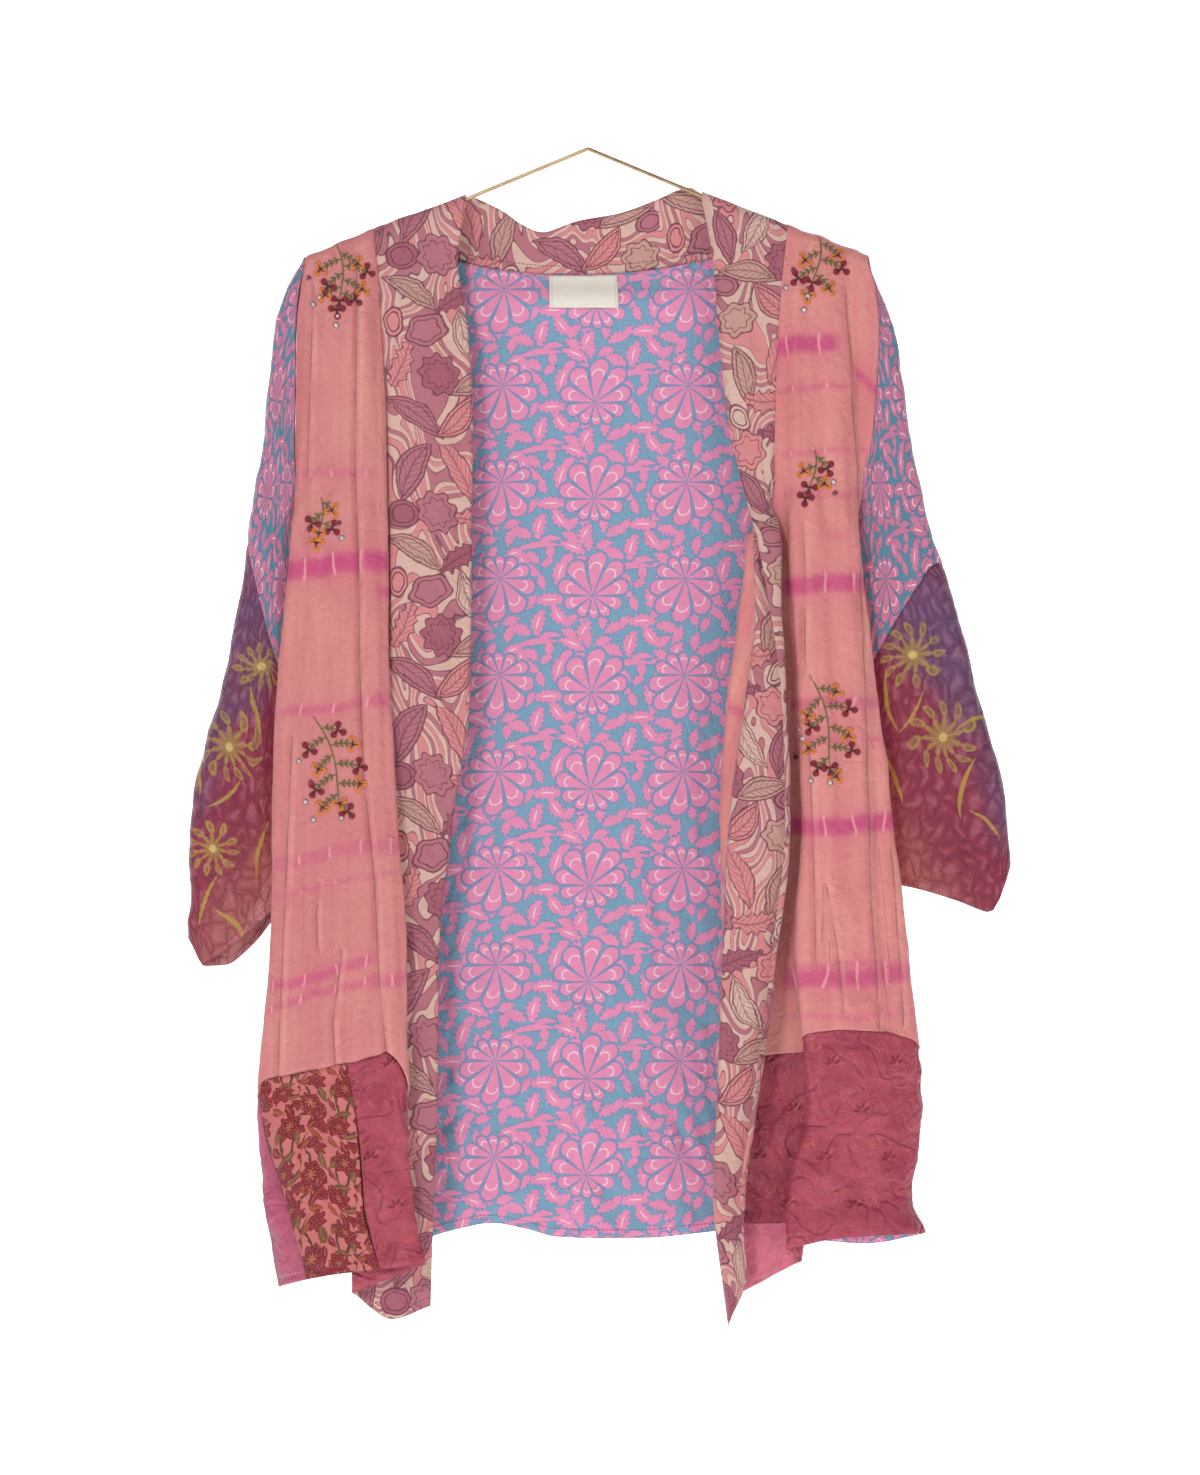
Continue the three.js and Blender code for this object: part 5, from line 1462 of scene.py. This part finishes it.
# %% Brass hanger
def tube(name, path, radius, sides, finish):
    """A round wire: a circle of points set square to the path at each of its points."""
    path = np.array(path, float)
    along = unit(np.gradient(path, axis=0))
    across = np.array([0.0, 1.0, 0.0])
    up = unit(np.cross(across, along))
    a = np.linspace(0, 2 * np.pi, sides, endpoint=False)
    ring = np.cos(a)[None, :, None] * across + np.sin(a)[None, :, None] * up[:, None, :]
    points = (path[:, None, :] + ring * radius).reshape(-1, 3)
    n = len(path)
    k = np.arange(sides)
    j = np.arange(n - 1)[:, None] * sides
    on = (k + 1) % sides
    quads = np.stack([j + k, j + on, j + sides + on, j + sides + k], -1).reshape(-1, 4)
    piece = build(name, points * MM, [quads, k[None, ::-1], (n - 1) * sides + k[None]])[0]
    piece.data.materials.append(finish)
    return piece


arm = np.array([[-222.5, -89.4], [-98, -40.4], [-5, -1.9], [-2.2, -0.6], [0, 0.0], [2.2, -0.6], [5, -1.9],
                [98, -40.4], [222.5, -89.4]])
run = np.concatenate([[0], np.cumsum(np.hypot(*np.diff(arm, axis=0).T))])
t = np.unique(np.concatenate([np.linspace(0, run[-1], 60), run, run[4] + np.linspace(-8, 8, 17)]))
wire = np.column_stack([np.interp(t, run, arm[:, 0]), 0 * t, np.interp(t, run, arm[:, 1])])
hanger = tube("hanger_wire", wire, 1.5, 12, FINISH["brass_wire"])
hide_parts("hanger")
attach(hanger, "root")
print("hanger points", len(wire))

# %% [markdown]
# ## Sewn sprays
# Six sprays are sewn on the fronts: green feather-stitched stems, flowers of satin stitch in wine and
# orange, dark knots and small set stones. Each thread is one closed strand laid on the cloth, whose
# height is first read into a table with a cell for each millimetre. A few numbers and a seeded draw
# lay out each spray.

# %% Threads and stones
HALF_CLOTH = 0.45


def cloth_height(Q, x0, x1, z0, z1):
    """Function depth(x, z): y of the foremost layer of the sheet Q between the limits."""
    table = np.full((z1 - z0 + 1, x1 - x0 + 1), np.inf)
    for a in np.linspace(0, 1, 6):
        for b in np.linspace(0, 1, 6):
            p = lerp(lerp(Q[:-1, :-1], Q[:-1, 1:], a), lerp(Q[1:, :-1], Q[1:, 1:], a), b).reshape(-1, 3)
            i = np.rint(p[:, 0]).astype(int) - x0
            k = np.rint(p[:, 2]).astype(int) - z0
            ok = (i >= 0) & (i <= x1 - x0) & (k >= 0) & (k <= z1 - z0)
            np.minimum.at(table, (k[ok], i[ok]), p[ok, 1])
    for _ in range(40):
        near = np.minimum.reduce([np.roll(table, s, axis) for s in (-1, 1) for axis in (0, 1)])
        table = np.where(np.isinf(table), near, table)
    for _ in range(2):
        table = sum(np.roll(table, (a, b), (0, 1)) for a in (-1, 0, 1) for b in (-1, 0, 1)) / 9

    def depth(x, z):
        i = np.clip(np.floor(x).astype(int) - x0, 0, x1 - x0 - 1)
        k = np.clip(np.floor(z).astype(int) - z0, 0, z1 - z0 - 1)
        fx = x - x0 - i
        fz = z - z0 - k
        low = lerp(table[k, i], table[k, i + 1], fx)
        return lerp(low, lerp(table[k + 1, i], table[k + 1, i + 1], fx), fz)
    return depth


def solid(name, points, groups, finish, uv):
    """A sewn part of a front, with its finish and its own flat coordinates."""
    piece, corners = build(name, points * MM, groups)
    lay_flat(piece, corners, uv)
    piece.data.validate()
    piece.data.materials.append(finish)
    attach(piece, "root")
    print(name, len(piece.data.polygons), "faces")


def strands(name, depth, paths, wide, lift, finish, sides=6):
    """Closed threads along paths (n, m, 2) of x and z, with radius wide and height lift along them."""
    n, m = paths.shape[:2]
    y = depth(paths[..., 0], paths[..., 1]) - HALF_CLOTH - np.array(lift)
    C = np.stack([paths[..., 0], y, paths[..., 1]], -1)
    T = unit(np.gradient(C, axis=1))
    S = unit(np.cross(T, [0.0, -1.0, 0.0]))
    F = np.cross(S, T)
    a = np.linspace(0, 2 * np.pi, sides, endpoint=False)
    ring = np.cos(a)[:, None] * S[:, :, None] + np.sin(a)[:, None] * F[:, :, None]
    points = C[:, :, None] + ring * np.array(wide)[None, :, None, None]
    ids = np.arange(n * m * sides).reshape(n, m, sides)
    on = np.roll(ids, -1, 2)
    quads = np.stack([ids[:, :-1], ids[:, 1:], on[:, 1:], on[:, :-1]], -1).reshape(-1, 4)
    run = np.cumsum(np.linalg.norm(np.diff(C, axis=1, prepend=C[:, :1]), axis=2), 1)
    uv = np.stack(np.broadcast_arrays(run[:, :, None], a * 0.5 + np.arange(n)[:, None, None]), -1)
    solid(name, points.reshape(-1, 3), [quads, ids[:, 0], ids[:, -1, ::-1]], finish, uv.reshape(-1, 2))


def turned(name, depth, spots, profile, finish, sides=8):
    """One small turned shape at each spot: profile rows are radius and height over the cloth."""
    profile = np.array(profile, float)
    a = np.linspace(0, 2 * np.pi, sides, endpoint=False)
    x = profile[:, :1] * np.cos(a)
    z = profile[:, :1] * np.sin(a)
    y = np.repeat(-profile[:, 1:], sides, 1)
    shape = np.stack([x, y, z], -1)
    base = np.column_stack([spots[:, 0], depth(spots[:, 0], spots[:, 1]) - HALF_CLOTH, spots[:, 1]])
    points = base[:, None, None] + shape[None]
    n, m = len(spots), len(profile)
    ids = np.arange(n * m * sides).reshape(n, m, sides)
    on = np.roll(ids, -1, 2)
    quads = np.stack([ids[:, :-1], on[:, :-1], on[:, 1:], ids[:, 1:]], -1).reshape(-1, 4)
    uv = np.stack(np.broadcast_arrays(np.cumsum(profile[:, 0])[:, None], a), -1).reshape(-1, 2)
    solid(name, points.reshape(-1, 3), [quads, ids[:, 0, ::-1], ids[:, -1]], finish, np.tile(uv, (n, 1)))


def thread_paint(low, high):
    """A twisted thread: two close tones in slanting stripes."""
    def paint(tree, x, y):
        return tint(tree, low, high, (x * 5.0 + y * 4.0).math("SINE") * 0.5 + 0.5)
    return paint


for tone, low, high, rough in (("green", (84, 88, 40), (124, 122, 62), 0.45),
                               ("wine", (116, 18, 38), (156, 36, 58), 0.4),
                               ("orange", (206, 108, 40), (236, 146, 66), 0.4),
                               ("dark", (60, 20, 28), (88, 34, 36), 0.5)):
    silk("thread_" + tone, thread_paint(colour(*low), colour(*high)), rough=rough, sheen=0.3, wrinkle=0.0)


def stone_finish(name, shade, rough, metal):
    """Plain polish for the stones and their settings, with a slow drift of tone."""
    finish, tree, shader = blank(name)
    where = add(tree, "TexCoord").outputs["Object"]
    drift = add(tree, "TexNoise", {"Vector": where, "Scale": 300.0}).outputs["Fac"]
    dim = tuple(c * 0.7 for c in shade[:3]) + (1.0,)
    base = ramp(tree, drift, [(0.35, dim), (0.65, shade)])
    fill(tree, shader, {"Metallic": metal, "Roughness": rough, "Base Color": base})
    FINISH[name] = finish


stone_finish("stone_glass", colour(226, 208, 214), 0.08, 0.0)
stone_finish("stone_rose", colour(176, 40, 70), 0.10, 0.0)
stone_finish("stone_setting", colour(150, 140, 136), 0.28, 1.0)
print("threads ready")

# %% Six sprays
SPRAYS = [
    # front, x and z of the head, x and z of the foot, reach to each side, twigs, seed
    ("left", -201, -76, -196, -122, 20, 8, 1), ("left", -213, -279, -213, -308, 13, 4, 2),
    ("left", -219, -454, -194, -522, 22, 9, 3), ("right", 185, -70, 181, -108, 19, 6, 4),
    ("right", 181, -241, 178, -272, 13, 4, 5), ("right", 176, -421, 196, -494, 21, 9, 6),
]
LAST_TWIG = 0.3
STITCH_GAP = 4.2
STITCH_TURN = math.radians(42)
PETAL_AROUND = np.radians([-104, 8, 112])
PETAL_SPREAD = np.radians(25)


def spray_plan(x0, z0, x1, z1, reach, twigs, seed):
    """Lines of stem and twigs, and the end and heading of each twig, in x and z."""
    dice = np.random.default_rng(seed)
    head = np.array([x0, z0], float)
    foot = np.array([x1, z1], float)
    length = np.linalg.norm(foot - head)
    down = (foot - head) / length
    side = np.array([-down[1], down[0]])
    t = np.linspace(0, 1, 9)[:, None]
    lines = [lerp(head, foot, t) + side * np.sin(t * 4.0) * 0.07 * length]
    for k in range(twigs):
        share = 0.16 + 0.84 * k / (twigs - 1)
        start = np.array([np.interp(share, t[:, 0], lines[0][:, c]) for c in (0, 1)])
        far = reach * (0.6 + 0.4 * math.sin(math.pi * share)) * dice.uniform(0.65, 1.0) * (-1) ** k
        far *= LAST_TWIG if k == twigs - 1 else 1.0
        end = start + side * far + down * dice.uniform(4, 11)
        knee = lerp(start, end, 0.6) - down * dice.uniform(1, 4)
        lines.append(start * (1 - t) ** 2 + knee * 2 * t * (1 - t) + end * t ** 2)
    ends = np.array([line[-1] for line in lines])
    heading = np.array([math.atan2(*(line[-1] - line[-2])[::-1]) for line in lines])
    return np.array(lines), ends, heading, dice


def leaf_pairs(lines):
    """Stitches in pairs, STITCH_GAP apart along each line, turned to both sides by STITCH_TURN."""
    out = []
    for line in lines:
        run = np.concatenate([[0], np.cumsum(np.linalg.norm(np.diff(line, axis=0), axis=1))])
        at = np.arange(3.0, run[-1] - 4.0, STITCH_GAP)
        base = np.stack([np.interp(at, run, line[:, c]) for c in (0, 1)], -1)
        ahead = np.stack([np.interp(at + 0.5, run, line[:, c]) for c in (0, 1)], -1)
        heading = np.arctan2(*(ahead - base).T[::-1])
        for sign in (-1, 1):
            turn = heading + sign * STITCH_TURN
            way = np.stack([np.cos(turn), np.sin(turn)], -1)
            out.append(base[:, None] + way[:, None] * np.array([0.3, 1.8, 3.4, 4.6])[None, :, None])
    return np.concatenate(out)


def petal_threads(ends, heading, size):
    """Satin stitches: three petals a flower, nine threads a petal, fanned by PETAL_SPREAD to each side."""
    spread = np.linspace(-1, 1, 9)
    turn = heading[:, None, None] + PETAL_AROUND[None, :, None] + PETAL_SPREAD * spread
    long = size * (1 - 0.20 * spread ** 2) * np.ones_like(turn)
    way = np.stack([np.cos(turn), np.sin(turn)], -1)
    steps = np.array([0.22, 0.55, 0.85, 1.0])
    paths = ends[:, None, None, None] + way[..., None, :] * (long[..., None] * steps)[..., None]
    return paths.reshape(-1, 4, 2)


heights = {"left": cloth_height(front_l, -262, -140, -560, -55),
           "right": cloth_height(front_r, 140, 262, -560, -55)}
for front_side, depth in heights.items():
    plans = [spray_plan(*row[1:]) for row in SPRAYS if row[0] == front_side]
    lines = np.concatenate([plan[0] for plan in plans])
    ends = np.concatenate([plan[1] for plan in plans])
    heading = np.concatenate([plan[2] for plan in plans])
    dice = plans[0][3]
    wine = np.isin(np.arange(len(ends)) % 4, (0, 3))
    twig_lines = np.concatenate([plan[0][1:] for plan in plans])
    strands("sewn_stems_" + front_side, depth, lines, [0.3] + [0.6] * 7 + [0.3], [0.25] * 9,
            FINISH["thread_green"])
    strands("sewn_leaves_" + front_side, depth, leaf_pairs(twig_lines), [0.2, 0.72, 0.66, 0.15],
            [0.3, 0.5, 0.5, 0.3], FINISH["thread_green"], 5)
    for tone, pick, size in (("wine", wine, 7.6), ("orange", ~wine, 7.0)):
        strands(f"sewn_petals_{tone}_{front_side}", depth, petal_threads(ends[pick], heading[pick], size),
                [0.2, 0.44, 0.56, 0.25], [0.3, 0.8, 0.8, 0.3], FINISH["thread_" + tone], 5)
    veins = petal_threads(ends, heading, 5.2)[4::9]
    strands("sewn_veins_" + front_side, depth, veins, [0.3, 0.32, 0.28, 0.12], [0.7, 1.3, 1.3, 1.1],
            FINISH["thread_dark"], 5)
    turned("sewn_knots_" + front_side, depth, ends, [(0.9, -0.2), (1.2, 0.4), (0.9, 1.1), (0.3, 1.35)],
           FINISH["thread_dark"])
    out = np.stack([np.cos(heading), np.sin(heading)], -1) * dice.uniform(11.0, 12.5, (len(ends), 1))
    spots = (ends + out)[::2]
    rose = np.arange(len(spots)) % 4 == 1
    turned("stone_settings_" + front_side, depth, spots,
           [(1.8, -0.3), (2.4, 0.1), (2.3, 0.7), (1.8, 0.9), (1.7, 0.4)], FINISH["stone_setting"])
    for tone, pick in (("glass", ~rose), ("rose", rose)):
        turned(f"stones_{tone}_{front_side}", depth, spots[pick],
               [(1.5, 0.1), (1.8, 0.6), (1.4, 1.2), (0.7, 1.5)], FINISH["stone_" + tone])
print("sprays", len(SPRAYS))
